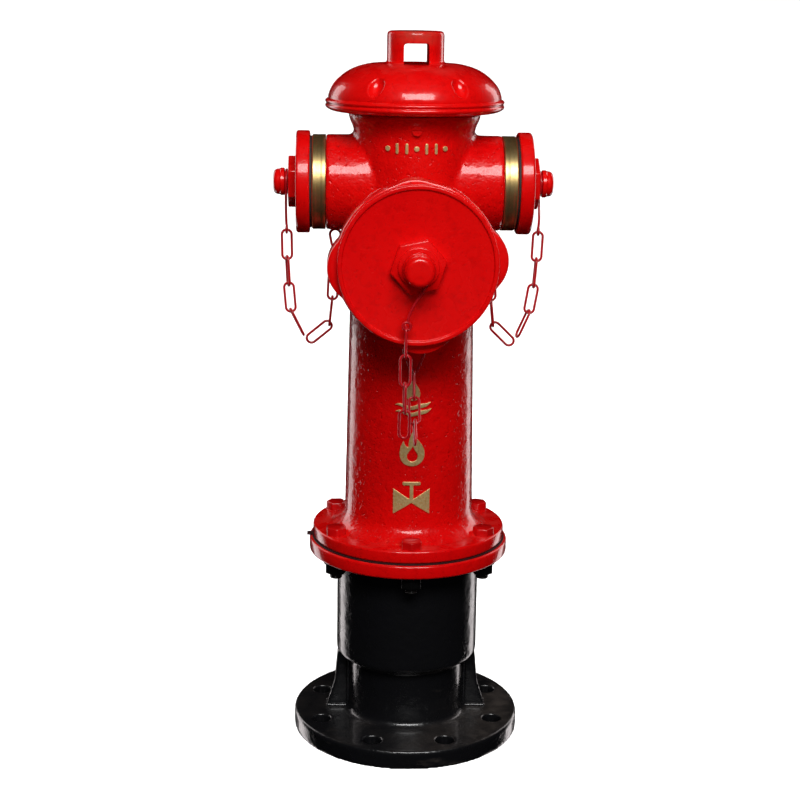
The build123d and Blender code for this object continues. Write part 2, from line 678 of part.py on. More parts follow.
def thumb_pocket():
    """A thumb-shaped scoop in the shoulder, rounded at the top and running out at the brim."""
    slope = 28
    scoop = Sphere(POCKET_R) + extrude(Circle(POCKET_R), -14)
    scoop = Pos(HAT_R - 4.0, 0, HAT_Z + 24) * Rot(0, -slope, 0) * scoop
    return scoop - tube(HAT_R + 20, 0, 0, HAT_Z + HAT_LIP + 1.5)


HAT_SCREW_R = 3.0


def hat_screw_blanks():
    """Two set screws that hold the hat's hub to the nut's hex, front and back."""
    flat = NUT_DRIVE_AF / 2
    blank = extrude(Circle(HAT_SCREW_R), HAT_HUB_R - flat - 0.5)
    z = hub_z + 8
    return [Rot(0, 0, turn) * Pos(0, flat, z) * Rot(-RIGHT, 0, 0) * blank for turn in (0, 180)]


# ---------------------------------------------------------------- valve
seat_top = SEAT_Z + SEAT_FLANGE_T + SEAT_LIP_H
rubber_z = seat_top + CLEAR
plate_z = rubber_z + RUBBER_T
plate_top = plate_z + PLATE_T
lower_plate_z = rubber_z - LOWER_PLATE_T
lock_washer_z = lower_plate_z - 2
valve_nut_z = lock_washer_z - VALVE_NUT_H
stem_low = valve_nut_z - 4
square_top = JOINT_Z + 6


def seat_ring():
    flange_top = SEAT_Z + SEAT_FLANGE_T
    lip_r = SEAT_BORE_R + SEAT_LIP_W
    skirt_z = SEAT_Z - SEAT_SKIRT_L
    flange_r = CHAMBER_BORE_R - 0.2
    ring = turned([(SEAT_BORE_R, skirt_z), (BASE_BORE_R, skirt_z), (BASE_BORE_R, SEAT_Z), (flange_r, SEAT_Z),
                   (flange_r, flange_top), (lip_r, flange_top), (lip_r, seat_top), (SEAT_BORE_R, seat_top)])
    return ring - seat_o_ring()


def seat_o_ring():
    middle = (BASE_BORE_R + CHAMBER_BORE_R) / 2
    return tube(middle + 1.5, middle - 1.5, SEAT_Z, SEAT_Z + 2.5)


def stem_guide():
    ring = tube(guide_r, guide_r - 7, JOINT_Z - GUIDE_T, JOINT_Z)
    for turn in range(3):
        arm = Pos((guide_r - 3) / 2, 0, JOINT_Z - GUIDE_T / 2) * Box(guide_r - 3, GUIDE_ARM_W, GUIDE_T)
        ring += Rot(0, 0, 30 + 120 * turn) * arm
    ring += tube(GUIDE_HUB_R, 0, JOINT_Z - GUIDE_T, JOINT_Z)
    gap = STEM_SQUARE + 2 * CLEAR
    return ring - Pos(0, 0, JOINT_Z - GUIDE_T / 2) * Box(gap, gap, GUIDE_T + 2)


def stem():
    rod = tube(STEM_END_R, 0, stem_low, plate_top)
    height = square_top - plate_top
    square = Pos(0, 0, plate_top + height / 2) * Box(STEM_SQUARE, STEM_SQUARE, height)
    rod += square
    thread_z = packing_z - LIFT - 8
    rod += tube(STEM_END_R, 0, square_top, thread_z)
    rod += tube(STEM_R, 0, thread_z, STEM_TOP)
    return chamfer(rod.edges().group_by(Axis.Z)[-1], 1.5)


def valve_plate():
    plate = turned([(STEM_END_R, plate_z), (PLATE_R, plate_z), (PLATE_R, plate_z + PLATE_T / 2),
                    (PLATE_R - 16, plate_top), (STEM_END_R, plate_top)])
    return plate


def valve_rubber():
    return tube(RUBBER_R, STEM_END_R, rubber_z, plate_z)


def valve_lower_plate():
    plate = tube(LOWER_PLATE_R, 0, lower_plate_z, rubber_z)
    plate = chamfer(plate.edges().group_by(Axis.Z)[0], 2.5)
    return plate - tube(STEM_END_R, 0, lower_plate_z - 1, rubber_z + 1)


def lock_washer():
    return tube(STEM_END_R + 9, STEM_END_R, lock_washer_z, lower_plate_z)


def valve_nut():
    nut = hexagon(VALVE_NUT_AF, valve_nut_z, lock_washer_z)
    return nut - tube(STEM_END_R, 0, valve_nut_z - 1, lock_washer_z + 1)


def drain_shoe():
    """A shoe on the valve plate that covers the drain when the valve is lifted."""
    outer = CHAMBER_BORE_R - CLEAR
    covered = DRAIN_Z - LIFT
    low = covered - DRAIN_BUSH_R - 3
    high = covered + DRAIN_BUSH_R + 3
    block = Pos(0, outer - 6, (low + high) / 2) * Box(16, 16, high - low)
    block &= tube(outer, RUBBER_R + 0.2, low, high)
    reach = outer - PLATE_R + 6
    arm = Pos(0, outer - reach / 2, plate_z + PLATE_T / 4) * Box(16, reach, PLATE_T / 2)
    arm &= tube(outer, PLATE_R, plate_z, plate_z + PLATE_T / 2)
    return block + arm


# ---------------------------------------------------------------- raised marks
def on_barrel(outline, z, turn=0.0):
    """Raise an outline, drawn in XY, from the barrel's front by MARK_H."""
    prism = Pos(0, 0, z) * Rot(0, 0, turn) * Rot(RIGHT, 0, 0) * extrude(outline, BARREL_FOOT_R + 10)
    low_r, high_r = barrel_r(z - 25), barrel_r(z + 25)
    skin = turned([(low_r, z - 25), (low_r + MARK_H, z - 25), (high_r + MARK_H, z + 25), (high_r, z + 25)])
    return prism & skin


def blob(size, corners):
    """A closed outline of cubic curves. Each row is a corner and the two handles that lead on."""
    curves = []
    for i, row in enumerate(corners):
        after = corners[(i + 1) % len(corners)][0]
        curves.append(Bezier(*[(x * size, y * size) for x, y in (*row, after)]))
    return make_face(curves)


def water_mark(size):
    """A water drop over two waves."""
    drop = blob(size, [((0, 0.5), (0.04, 0.36), (0.2, 0.24)), ((0.2, 0.08), (0.2, -0.18), (-0.2, -0.18)),
                       ((-0.2, 0.08), (-0.2, 0.24), (-0.04, 0.36))])
    wave = blob(size, [((-0.5, 0.0), (-0.3, 0.16), (-0.16, -0.1)), ((0.06, 0.0), (0.24, 0.08), (0.36, 0.02)),
                       ((0.5, 0.1), (0.4, -0.08), (0.26, -0.06)), ((0.08, -0.1), (-0.14, -0.2), (-0.3, 0.04))])
    return [drop, Pos(0, -0.24 * size) * wave, Pos(0.02 * size, -0.42 * size) * wave]


def flame_mark(size):
    """A flame with a tall tongue, a side tongue, and a smaller flame left open inside it."""
    outer = blob(size, [((0.04, 0.52), (0.0, 0.3), (0.3, 0.2)), ((0.34, -0.1), (0.36, -0.34), (0.2, -0.5)),
                        ((0.0, -0.5), (-0.22, -0.5), (-0.36, -0.34)), ((-0.34, -0.1), (-0.33, 0.06), (-0.28, 0.1)),
                        ((-0.24, 0.22), (-0.2, 0.08), (-0.16, 0.04)), ((-0.1, 0.04), (-0.1, 0.26), (-0.04, 0.4))])
    inner = blob(size, [((0.02, 0.1), (0.02, -0.02), (0.17, -0.12)), ((0.15, -0.24), (0.13, -0.4), (-0.13, -0.42)),
                        ((-0.14, -0.22), (-0.14, -0.1), (0.0, -0.04))])
    return [outer - inner]


def valve_mark(size):
    """The drawing sign of a valve: two triangles whose tips run into each other, with a stem."""
    half = 0.5 * size
    past = 0.06 * size
    left = make_face(Polyline((-half, 0.3 * size), (-half, -0.42 * size), (past, -past), close=True))
    right = make_face(Polyline((half, 0.3 * size), (half, -0.42 * size), (-past, -past), close=True))
    bar = Pos(0, 0.2 * size) * Rectangle(0.1 * size, 0.5 * size)
    hand = Pos(0, 0.45 * size) * RectangleRounded(0.5 * size, 0.1 * size, 0.04 * size)
    return [left + right + bar + hand]


MARK_SIZE = 34.0
MARK_TOP_Z = FRONT_Z - 131.0
MARK_STEP = 49.0
BAR_COUNT = 7
BAR_TURN = 9.0
BAR_Z = BARREL_TOP - 24.0


def relief_marks():
    marks = []
    for i, sign in enumerate((water_mark, flame_mark, valve_mark)):
        for outline in sign(MARK_SIZE):
            marks.append(on_barrel(outline, MARK_TOP_Z - MARK_STEP * i))
    first = -BAR_TURN * (BAR_COUNT - 1) / 2
    for i in range(BAR_COUNT):
        outline = RectangleRounded(2.6, 9.5, 1.2) if i % 3 else Circle(2.4)
        marks.append(on_barrel(outline, BAR_Z, first + BAR_TURN * i))
    return marks


# ---------------------------------------------------------------- write the nodes
def main():
    save("base_casting", base_casting())
    save("lower_flange", lower_flange())
    save("flange_gasket", flange_gasket())
    save("barrel", barrel())
    save("flange_bolts", around(flange_bolt(), JOINT_BOLTS, JOINT_PCD / 2, -RIGHT))
    save("flange_nuts", around(flange_nut(), JOINT_BOLTS, JOINT_PCD / 2, -RIGHT))
    save("flange_washers", around(flange_washer(), JOINT_BOLTS, JOINT_PCD / 2, -RIGHT))
    save("neck_plug", neck_plug())
    save("relief_marks", relief_marks())
    save("seat_ring", seat_ring())
    save("seat_o_ring", seat_o_ring())
    save("drain_bush", drain_bush())
    save("stem_guide", stem_guide())
    save("bonnet_gasket", bonnet_gasket())
    save("bonnet", bonnet())
    bonnet_screw = socket_screw(BONNET_SCREW_D, BARREL_TOP - TOP_LEDGE + 3, bonnet_top, BONNET_SCREW_D * 0.6)
    save("bonnet_screws", around(bonnet_screw, SCREW_COUNT, BONNET_SCREW_R, 45))
    save("stem_packing", stem_packing())
    save("nut_retainer", nut_retainer())
    retainer_screw = socket_screw(RETAINER_SCREW_D, bonnet_top - BONNET_T + 2, retainer_top, 3.2)
    save("retainer_screws", around(retainer_screw, SCREW_COUNT, RETAINER_SCREW_R))
    save("outlet_ring_left", on_left(side_ring()))
    save("outlet_ring_right", on_right(side_ring()))
    save("outlet_ring_front", on_front(front_ring()))
    save("chain_anchors", anchor_loops())

    save("hat", hat())
    save("stem_nut", stem_nut())
    save("hat_set_screws", hat_screw_blanks())

    save("stem", stem())
    save("valve_plate", valve_plate())
    save("valve_rubber", valve_rubber())
    save("valve_lower_plate", valve_lower_plate())
    save("lock_washer", lock_washer())
    save("valve_nut", valve_nut())
    save("drain_shoe", drain_shoe())

    save("cap_left", on_left(side_cap()))
    save("cap_left_seal", on_left(side_seal()))
    save("cap_right", on_right(side_cap()))
    save("cap_right_seal", on_right(side_seal()))
    save("cap_front", on_front(front_cap()))
    save("cap_front_seal", on_front(front_seal()))

    side_eye = Rot(0, 0, RIGHT) * eye(SIDE_BOSS_R, SIDE_EYE_DROP)
    save("eye_left", Pos(-side_eye_at, 0, SIDE_Z) * side_eye)
    save("eye_right", Pos(side_eye_at, 0, SIDE_Z) * side_eye)
    front_eye = Rot(0, FRONT_EYE_LEAN, 0) * eye(FRONT_BOSS_R, FRONT_EYE_DROP)
    save("eye_front", Pos(0, -front_eye_at, FRONT_Z) * front_eye)

    falls = (("left", left_tip, LEFT_FALL), ("right", right_tip, RIGHT_FALL),
             ("front", front_tip, FRONT_FALL))
    for name, tip, steps in falls:
        links, rests = chain(tip, steps, EYE_SEAT)
        save(f"chain_{name}_fall", links)
        print("   pivot", tuple(tip), "end", tuple(rests[-1]))
    returns = (("left", loop_tip(left_loop_top, SIDE_LOOP_DROP), LEFT_RETURN),
               ("right", loop_tip(right_loop_top, SIDE_LOOP_DROP), RIGHT_RETURN),
               ("front", loop_tip(front_loop_top, FRONT_LOOP_DROP), FRONT_RETURN))
    for name, tip, steps in returns:
        links, rests = chain(tip, steps, EYE_SEAT)
        save(f"chain_{name}_return", links)
        print("   pivot", tuple(tip), "end", tuple(rests[-1]))


main()
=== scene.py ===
# %% [markdown]
# # A pillar fire hydrant
# The imported model is loaded as a fixed frame. It holds every piece at its real size and place, and each
# piece already rides on the body that moves it. This script gives the pieces their finishes, rebuilds the
# ones that need finer modelling, and lights them. The box of the whole object is noted first, and the
# remeshed castings are held within its height.

import math

import bmesh
import bpy
from mathutils import Matrix, Vector, noise


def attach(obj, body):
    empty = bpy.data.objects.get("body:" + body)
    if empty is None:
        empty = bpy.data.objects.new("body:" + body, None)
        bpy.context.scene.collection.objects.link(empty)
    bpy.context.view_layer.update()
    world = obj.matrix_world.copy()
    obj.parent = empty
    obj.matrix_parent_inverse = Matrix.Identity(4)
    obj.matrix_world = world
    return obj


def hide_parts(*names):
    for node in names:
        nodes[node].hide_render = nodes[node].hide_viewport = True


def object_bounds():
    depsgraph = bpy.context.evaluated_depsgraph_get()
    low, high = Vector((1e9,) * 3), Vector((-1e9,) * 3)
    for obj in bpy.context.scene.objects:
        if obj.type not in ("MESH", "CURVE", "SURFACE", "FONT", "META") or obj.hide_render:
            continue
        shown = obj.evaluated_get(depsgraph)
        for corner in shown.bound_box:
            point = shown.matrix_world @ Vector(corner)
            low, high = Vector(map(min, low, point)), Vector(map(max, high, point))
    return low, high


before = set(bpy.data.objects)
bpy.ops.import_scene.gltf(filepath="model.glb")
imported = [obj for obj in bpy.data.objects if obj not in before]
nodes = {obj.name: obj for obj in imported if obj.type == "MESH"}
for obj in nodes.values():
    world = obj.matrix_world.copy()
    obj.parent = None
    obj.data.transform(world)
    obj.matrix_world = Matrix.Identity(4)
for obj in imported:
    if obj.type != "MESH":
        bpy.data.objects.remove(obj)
cad_low, cad_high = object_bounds()
MM = 0.001

# %% [markdown]
# ## Camera
# A long lens far away keeps a tall object from tapering. The camera stands a little above the hydrant's
# hat and looks down, slightly from the hydrant's own left, and it is tilted by less than a degree.

# %% Camera
CAMERA_FAR = 1.5276
CAMERA_HIGH = 0.7107
CAMERA_TURN = math.radians(-2.5)
CAMERA_PITCH = math.radians(14.0)
CAMERA_AIM = math.radians(0.36)
CAMERA_ROLL = math.radians(0.83)
SENSOR = 36.0
LENS = 74.25


def make_camera():
    data = bpy.data.cameras.new("camera")
    data.sensor_width = SENSOR
    data.lens = LENS
    camera = bpy.data.objects.new("camera", data)
    bpy.context.scene.collection.objects.link(camera)
    turn = Matrix.Rotation(CAMERA_TURN, 4, "Z")
    camera.location = turn @ Vector((0, -CAMERA_FAR, CAMERA_HIGH))
    aim = Matrix.Rotation(CAMERA_AIM, 4, "Z") @ Matrix.Rotation(math.pi / 2 - CAMERA_PITCH, 4, "X")
    camera.rotation_euler = (turn @ aim @ Matrix.Rotation(CAMERA_ROLL, 4, "Z")).to_euler()
    bpy.context.scene.camera = camera


make_camera()
print("camera made")

# %% [markdown]
# ## Floor and light
# The floor is one wide pale plane that runs out to a white horizon. Gloss paint shows the shape of every
# lamp, so the lamps are large soft rectangles: a key high in front, and a tall strip behind at each side
# for the bright edges of the barrel and the base. The top and fill lamps only lift the shadows, so they
# leave no reflection. Reflections show neither the floor nor the white world, which keeps the red deep, and
# the strips can then run on below the floor and be reflected by the base. A soft sun that reaches the floor
# alone keeps the floor as white as the horizon.

# %% Floor and lights
FLOOR_COLOUR = (0.9, 0.9, 0.9, 1)
FLOOR_SIZE = 150.0
FLOOR_SUN = 4.6
MIDDLE = (0, 0, 0.45)
BEHIND = (0, 0, -0.1)
PALE_PINK = (1, 0.93, 0.93)


def make_floor():
    mesh = bpy.data.meshes.new("floor")
    bm = bmesh.new()
    bmesh.ops.create_grid(bm, x_segments=1, y_segments=1, size=FLOOR_SIZE)
    bm.to_mesh(mesh)
    bm.free()
    floor = bpy.data.objects.new("floor", mesh)
    bpy.context.scene.collection.objects.link(floor)
    material = bpy.data.materials.new("floor")
    material.use_nodes = True
    surface = material.node_tree.nodes["Principled BSDF"]
    surface.inputs["Base Color"].default_value = FLOOR_COLOUR
    surface.inputs["Roughness"].default_value = 0.9
    surface.inputs["Specular IOR Level"].default_value = 0.0
    mesh.materials.append(material)
    floor.visible_glossy = False
    floor.visible_diffuse = False
    return floor


def make_light(name, place, target, size, power, glossy=True, colour=(1, 1, 1)):
    data = bpy.data.lights.new(name, "AREA")
    data.shape = "RECTANGLE"
    data.size, data.size_y = size
    data.energy = power
    data.color = colour
    light = bpy.data.objects.new(name, data)
    light.location = place
    light.rotation_euler = (Vector(target) - Vector(place)).to_track_quat("-Z", "Y").to_euler()
    light.visible_glossy = glossy
    bpy.context.scene.collection.objects.link(light)


def make_floor_sun(floor, strength):
    data = bpy.data.lights.new("floor_sun", "SUN")
    data.energy = strength
    data.angle = math.radians(120)
    sun = bpy.data.objects.new("floor_sun", data)
    bpy.context.scene.collection.objects.link(sun)
    only_floor = bpy.data.collections.new("only_floor")
    only_floor.objects.link(floor)
    sun.light_linking.receiver_collection = only_floor


def make_world():
    world = bpy.data.worlds.new("studio")
    bpy.context.scene.world = world
    world.use_nodes = True
    world.node_tree.nodes["Background"].inputs["Color"].default_value = (1, 1, 1, 1)
    world.node_tree.nodes["Background"].inputs["Strength"].default_value = 1.0
    world.cycles_visibility.glossy = False
    world.cycles_visibility.diffuse = False
    bpy.context.scene.view_settings.view_transform = "Standard"


make_world()
make_floor_sun(make_floor(), FLOOR_SUN)
make_light("key", (0.12, -1.9, 1.95), MIDDLE, (1.5, 0.8), 47)
make_light("strip_left", (-1.1, 1.0, -0.1), BEHIND, (0.5, 3.0), 13, colour=PALE_PINK)
make_light("strip_right", (1.1, 1.0, -0.1), BEHIND, (0.45, 3.0), 11, colour=PALE_PINK)
make_light("top", (0.0, -0.5, 2.3), (0, 0, 0.4), (1.2, 0.8), 6, glossy=False)
make_light("fill", (0.5, -2.6, 0.7), (0, 0, 0.35), (2.0, 1.4), 9, glossy=False)
print("floor and lights made")

# %% [markdown]
# ## Writing finishes as expressions
# A finish is a small graph of shader nodes. `Value` wraps one socket and overloads the arithmetic, so a
# mask reads like a formula. `Finish.node` adds any other node from its type, settings and sockets.


# %% Shader helpers
class Value:
    """A number that varies over a surface."""

    def __init__(self, finish, socket):
        self.finish = finish
        self.socket = socket

    def math(self, operation, a, b=0.0, clamp=False):
        node = self.finish.node("ShaderNodeMath", {"operation": operation, "use_clamp": clamp}, {0: a, 1: b})
        return Value(self.finish, node.outputs[0])

    def __add__(self, other):
        return self.math("ADD", self, other)

    def __radd__(self, other):
        return self.math("ADD", other, self)

    def __sub__(self, other):
        return self.math("SUBTRACT", self, other)

    def __rsub__(self, other):
        return self.math("SUBTRACT", other, self)

    def __mul__(self, other):
        return self.math("MULTIPLY", self, other)

    def clamped(self):
        return self.math("ADD", self, 0.0, clamp=True)

    def between(self, low, high):
        """0 at low and 1 at high, with a straight slope between them."""
        return ((self - low) * (1 / (high - low))).clamped()


class Finish:
    """One material, with short words for the nodes that the finishes share."""

    def __init__(self, name, **constants):
        self.material = bpy.data.materials.new(name)
        self.material.use_nodes = True
        self.tree = self.material.node_tree
        self.surface = self.tree.nodes["Principled BSDF"]
        for socket, value in constants.items():
            self.surface.inputs[socket.replace("_", " ")].default_value = value
        self.place = self.node("ShaderNodeTexCoord").outputs["Object"]

    def node(self, kind, settings=None, sockets=None):
        made = self.tree.nodes.new(kind)
        for key, value in (settings or {}).items():
            setattr(made, key, value)
        for key, value in (sockets or {}).items():
            self.plug(made.inputs[key], value)
        return made

    def plug(self, socket, value):
        if isinstance(value, Value):
            value = value.socket
        if isinstance(value, bpy.types.NodeSocket):
            self.tree.links.new(value, socket)
        else:
            socket.default_value = value

    def noise(self, scale, detail=2.0, roughness=0.5, stretch=(1, 1, 1), distortion=0.0):
        """Noise whose features are about 1 / scale metres across."""
        place = self.node("ShaderNodeMapping", None, {"Vector": self.place, "Scale": stretch}).outputs[0]
        made = self.node("ShaderNodeTexNoise", None,
                         {"Vector": place, "Scale": scale, "Detail": detail, "Roughness": roughness,
                          "Distortion": distortion})
        return Value(self, made.outputs["Fac"])

    def axis(self, name):
        split = self.node("ShaderNodeSeparateXYZ", None, {0: self.place})
        return Value(self, split.outputs[name])

    def facing_up(self):
        normal = self.node("ShaderNodeNewGeometry").outputs["Normal"]
        split = self.node("ShaderNodeSeparateXYZ", None, {0: normal})
        return Value(self, split.outputs["Z"])

    def mix(self, mask, first, second):
        """A colour that goes from first to second as the mask goes from 0 to 1."""
        made = self.node("ShaderNodeMix", {"data_type": "RGBA"}, {0: mask, 6: first, 7: second})
        return made.outputs[2]

    def bump(self, height, depth):
        """Relief whose full height is depth, in metres."""
        made = self.node("ShaderNodeBump", None, {"Height": height, "Distance": depth, "Strength": 1.0})
        self.plug(self.surface.inputs["Normal"], made.outputs[0])

    def finish(self, colour=None, roughness=None, metallic=None, coat=None):
        wanted = {"Base Color": colour, "Roughness": roughness, "Metallic": metallic, "Coat Weight": coat}
        for socket, value in wanted.items():
            if value is not None:
                self.plug(self.surface.inputs[socket], value)
        return self.material


print("shader helpers ready")

# %% [markdown]
# ## Red enamel on cast iron
# The castings are dipped or sprayed with a glossy red enamel. The sand-cast skin shows through it as
# shallow lumps a few millimetres across, which break the outline of each reflection. Fine orange peel lies
# over that, the red is darker in the hollows of the lumps and pits as painted shade, and a little dust
# settles on what faces up.

# %% Red enamel
RED = (0.78, 0.0018, 0.0028, 1)
RED_DEEP = (0.42, 0.001, 0.0015, 1)
RED_WARM = (0.84, 0.004, 0.003, 1)
PAINTED_SHEEN_COLOUR = (0.30, 0.09, 0.06, 1)
RED_DUST = (0.45, 0.25, 0.2, 1)


def red_enamel(name, lumps, peel, painted_sheen=False):
    """lumps and peel are depths in millimetres; the last argument adds a painted orange sheen, a painted
    highlight, at the top front of the hat's boss.
    """
    f = Finish(name, Coat_Roughness=0.06, Coat_IOR=1.5, Specular_IOR_Level=0.22)
    broad = f.noise(9, 3)
    skin = f.noise(150, 3, 0.55, distortion=0.4)
    fine = f.noise(600, 2)
    pits = f.noise(330, 1).between(0.36, 0.24)
    colour = f.mix(broad.between(0.35, 0.7), RED, RED_WARM)
    # painted shade: the red is made deeper where the bump's lumps and pits are low
    thin_paint_and_hollow_shade = (skin.between(0.5, 0.25) * 0.35 + pits * 0.3).clamped()
    colour = f.mix(thin_paint_and_hollow_shade, colour, RED_DEEP)
    dust = f.facing_up().between(0.75, 1.0) * f.noise(60, 4).between(0.45, 0.75)
    colour = f.mix(dust * 0.10, colour, RED_DUST)
    # painted highlight: an orange-brown sheen mixed into the colour at the top front of the boss
    if painted_sheen:
        high = f.axis("Z").between(0.660, 0.671)
        front = f.axis("Y").between(-0.012, -0.024)
        wear_and_sheen = high * front * f.noise(90, 4).between(0.3, 0.7)
        colour = f.mix(wear_and_sheen * 0.7, colour, PAINTED_SHEEN_COLOUR)
    f.bump(skin * lumps + fine * peel - pits * lumps * 0.4, MM)
    roughness = f.noise(40, 3).between(0.2, 0.8) * 0.12 + 0.2 + dust * 0.2
    return f.finish(colour, roughness, coat=0.55 - dust * 0.3)


cast_red = red_enamel("red_enamel_cast", 0.9, 0.08)
smooth_red = red_enamel("red_enamel_smooth", 0.18, 0.05)
hat_red = red_enamel("red_enamel_hat", 0.18, 0.05, painted_sheen=True)
print("red enamel made")

# %% [markdown]
# ## Black enamel
# The buried end is painted black. It is as glossy as the red, and soil and handling have left it dusty,
# most of all on the flange, whose top is scuffed to a warm grey.

# %% Black enamel
BLACK = (0.006, 0.006, 0.007, 1)
DUST = (0.16, 0.13, 0.11, 1)


def black_enamel():
    f = Finish("black_enamel", Coat_Roughness=0.08)
    skin = f.noise(120, 3, 0.55)
    fine = f.noise(700, 2)
    low = f.axis("Z").between(0.09, 0.015)
    # the dust mask grows from 0.2 on the left to 1 towards +X, the side of the right outlet
    heavier_to_the_right = f.axis("X").between(-0.02, 0.09) * 0.8 + 0.2
    patches = f.noise(35, 5, 0.6).between(0.35, 0.75)
    dust = f.facing_up().between(0.5, 1.0) * patches * low * heavier_to_the_right
    scuffs = f.noise(26, 6, 0.65, stretch=(1, 1, 4)).between(0.62, 0.74) * low
    mask = (dust * 0.35 + scuffs * 0.22).clamped()
    f.bump(skin * 0.7 + fine * 0.06, MM)
    roughness = 0.24 + mask * 0.5 + f.noise(50, 3) * 0.08
    return f.finish(f.mix(mask, BLACK, DUST), roughness, coat=0.45 - mask * 0.4)


black = black_enamel()
print("black enamel made")

# %% [markdown]
# ## Brass, gold paint and bare metals
# The outlet rings are turned from brass: the tool leaves fine rings round the axis, so the relief is noise
# that changes along the axis only. Gold paint is brushed on the raised marks, thin at their edges.
# Wire and nuts are steel, painted with the rest or blackened.


# %% Brass and other metals
BRASS, BRASS_STAIN, BRASS_LINES = (0.80, 0.60, 0.26, 1), (0.55, 0.36, 0.12, 1), (0.35, 0.22, 0.07, 1)
GOLD, GOLD_DEEP, GOLD_STROKES = (0.98, 0.74, 0.36, 1), (0.80, 0.50, 0.18, 1), (0.45, 0.24, 0.07, 1)
WIRE_RED, WIRE_DEEP, WIRE_BARE = (0.66, 0.008, 0.014, 1), (0.42, 0.005, 0.010, 1), (0.30, 0.24, 0.22, 1)
IRON, IRON_PALE, RUST = (0.09, 0.085, 0.08, 1), (0.18, 0.17, 0.16, 1), (0.20, 0.07, 0.025, 1)
BOLT_BLACK = (0.012, 0.010, 0.010, 1)


def turned_brass(name, along):
    """along is the axis that the ring was turned about."""
    f = Finish(name)
    stretch = [0.02, 0.02, 0.02]
    stretch["XYZ".index(along)] = 1.0
    lines = f.noise(2600, 2, stretch=stretch)
    coarse = f.noise(420, 2, stretch=stretch)
    stain = f.noise(70, 4, 0.6)
    colour = f.mix(stain.between(0.35, 0.75), BRASS, BRASS_STAIN)
    colour = f.mix(lines.between(0.6, 0.8) * 0.35, colour, BRASS_LINES)
    f.bump(lines * 0.03 + coarse * 0.05, MM)
    return f.finish(colour, 0.26 + stain * 0.12 + lines * 0.08, metallic=0.95)


def gold_paint():
    f = Finish("gold_paint")
    grain = f.noise(500, 3)
    thin_paint_and_hollow_shade = f.noise(190, 3).between(0.6, 0.72)
    colour = f.mix(grain.between(0.3, 0.7), GOLD, GOLD_DEEP)
    colour = f.mix(thin_paint_and_hollow_shade * 0.6, colour, RED_DEEP)
    strokes = f.noise(420, 3, 0.6, stretch=(1, 1, 0.25))
    colour = f.mix(strokes.between(0.55, 0.75) * 0.5, colour, GOLD_STROKES)
    f.bump(grain * 0.2 + strokes * 0.4, MM)
    return f.finish(colour, 0.24 + grain * 0.2, metallic=0.55 - thin_paint_and_hollow_shade * 0.4)


def painted_wire():
    f = Finish("painted_wire", Coat_Roughness=0.1)
    wear_and_sheen = f.noise(260, 4, 0.6).between(0.66, 0.76)
    colour = f.mix(f.noise(90, 2), WIRE_RED, WIRE_DEEP)
    colour = f.mix(wear_and_sheen * 0.5, colour, WIRE_BARE)
    f.bump(f.noise(900, 2) * 0.08, MM)
    return f.finish(colour, 0.28 + wear_and_sheen * 0.2, metallic=wear_and_sheen * 0.6, coat=0.4 - wear_and_sheen * 0.4)


def steel(name, colour, dark, rough):
    f = Finish(name)
    grain = f.noise(900, 3)
    stain = f.noise(80, 4, 0.6)
    f.bump(grain * 0.06, MM)
    return f.finish(f.mix(stain, colour, dark), grain * 0.1 + rough, metallic=0.85)


def bolt_finish():
    """Red where the flange joint was painted in place, black below it."""
    f = Finish("bolt_paint", Coat_Roughness=0.1)
    low = f.axis("Z").between(0.192, 0.188)
    grain = f.noise(400, 2)
    colour = f.mix(f.noise(50, 3), RED, RED_DEEP)
    f.bump(grain * 0.18, MM)
    return f.finish(f.mix(low, colour, BOLT_BLACK), 0.26 + grain * 0.1, coat=0.4)


def rubber(name, light=(0.035, 0.033, 0.03, 1), dark=(0.012, 0.012, 0.013, 1)):
    f = Finish(name)
    grain = f.noise(1200, 2)
    f.bump(grain * 0.05, MM)
    return f.finish(f.mix(f.noise(120, 3), dark, light), 0.55 + grain * 0.2)


def raw_iron():
    f = Finish("raw_iron")
    skin = f.noise(260, 4, 0.6)
    rust = f.noise(60, 5, 0.65).between(0.55, 0.7)
    colour = f.mix(rust * 0.7, f.mix(skin, IRON, IRON_PALE), RUST)
    f.bump(skin * 0.4, MM)
    return f.finish(colour, 0.5 + rust * 0.3, metallic=0.6 - rust * 0.5)


brass = {side: turned_brass(f"turned_brass_{side}", side.upper()) for side in "xyz"}
gold = gold_paint()
wire = painted_wire()
bright_steel = steel("bright_steel", (0.55, 0.55, 0.54, 1), (0.35, 0.34, 0.33, 1), 0.25)
black_steel = steel("black_steel", (0.03, 0.03, 0.032, 1), (0.012, 0.012, 0.012, 1), 0.3)
bolt_paint = bolt_finish()
black_rubber = rubber("black_rubber")
iron = raw_iron()
joint_rubber = rubber("joint_rubber", (0.045, 0.004, 0.005, 1), (0.02, 0.004, 0.004, 1))
print("metals and rubber made")

# %% [markdown]
# ## Dressing the frame
# Every node of the frame that stays in view takes its finish here.

# %% Finishes on the nodes
FINISHES = {
    "base_casting": black, "lower_flange": smooth_red, "flange_gasket": joint_rubber, "barrel": cast_red,
    "flange_bolts": bolt_paint, "flange_nuts": black_steel, "flange_washers": black_steel,
    "neck_plug": smooth_red, "relief_marks": gold, "seat_ring": brass["z"], "seat_o_ring": black_rubber,
    "drain_bush": brass["y"], "stem_guide": iron, "bonnet_gasket": black_rubber, "bonnet": iron,
    "bonnet_screws": bright_steel, "stem_packing": black_rubber, "nut_retainer": iron,
    "retainer_screws": bright_steel, "outlet_ring_left": brass["x"], "outlet_ring_right": brass["x"],
    "outlet_ring_front": brass["y"], "chain_anchors": wire, "hat": smooth_red, "stem_nut": brass["z"],
    "hat_set_screws": bright_steel, "stem": bright_steel, "valve_plate": iron, "valve_rubber": black_rubber,
    "valve_lower_plate": iron, "lock_washer": bright_steel, "valve_nut": bright_steel,
    "drain_shoe": brass["z"]}
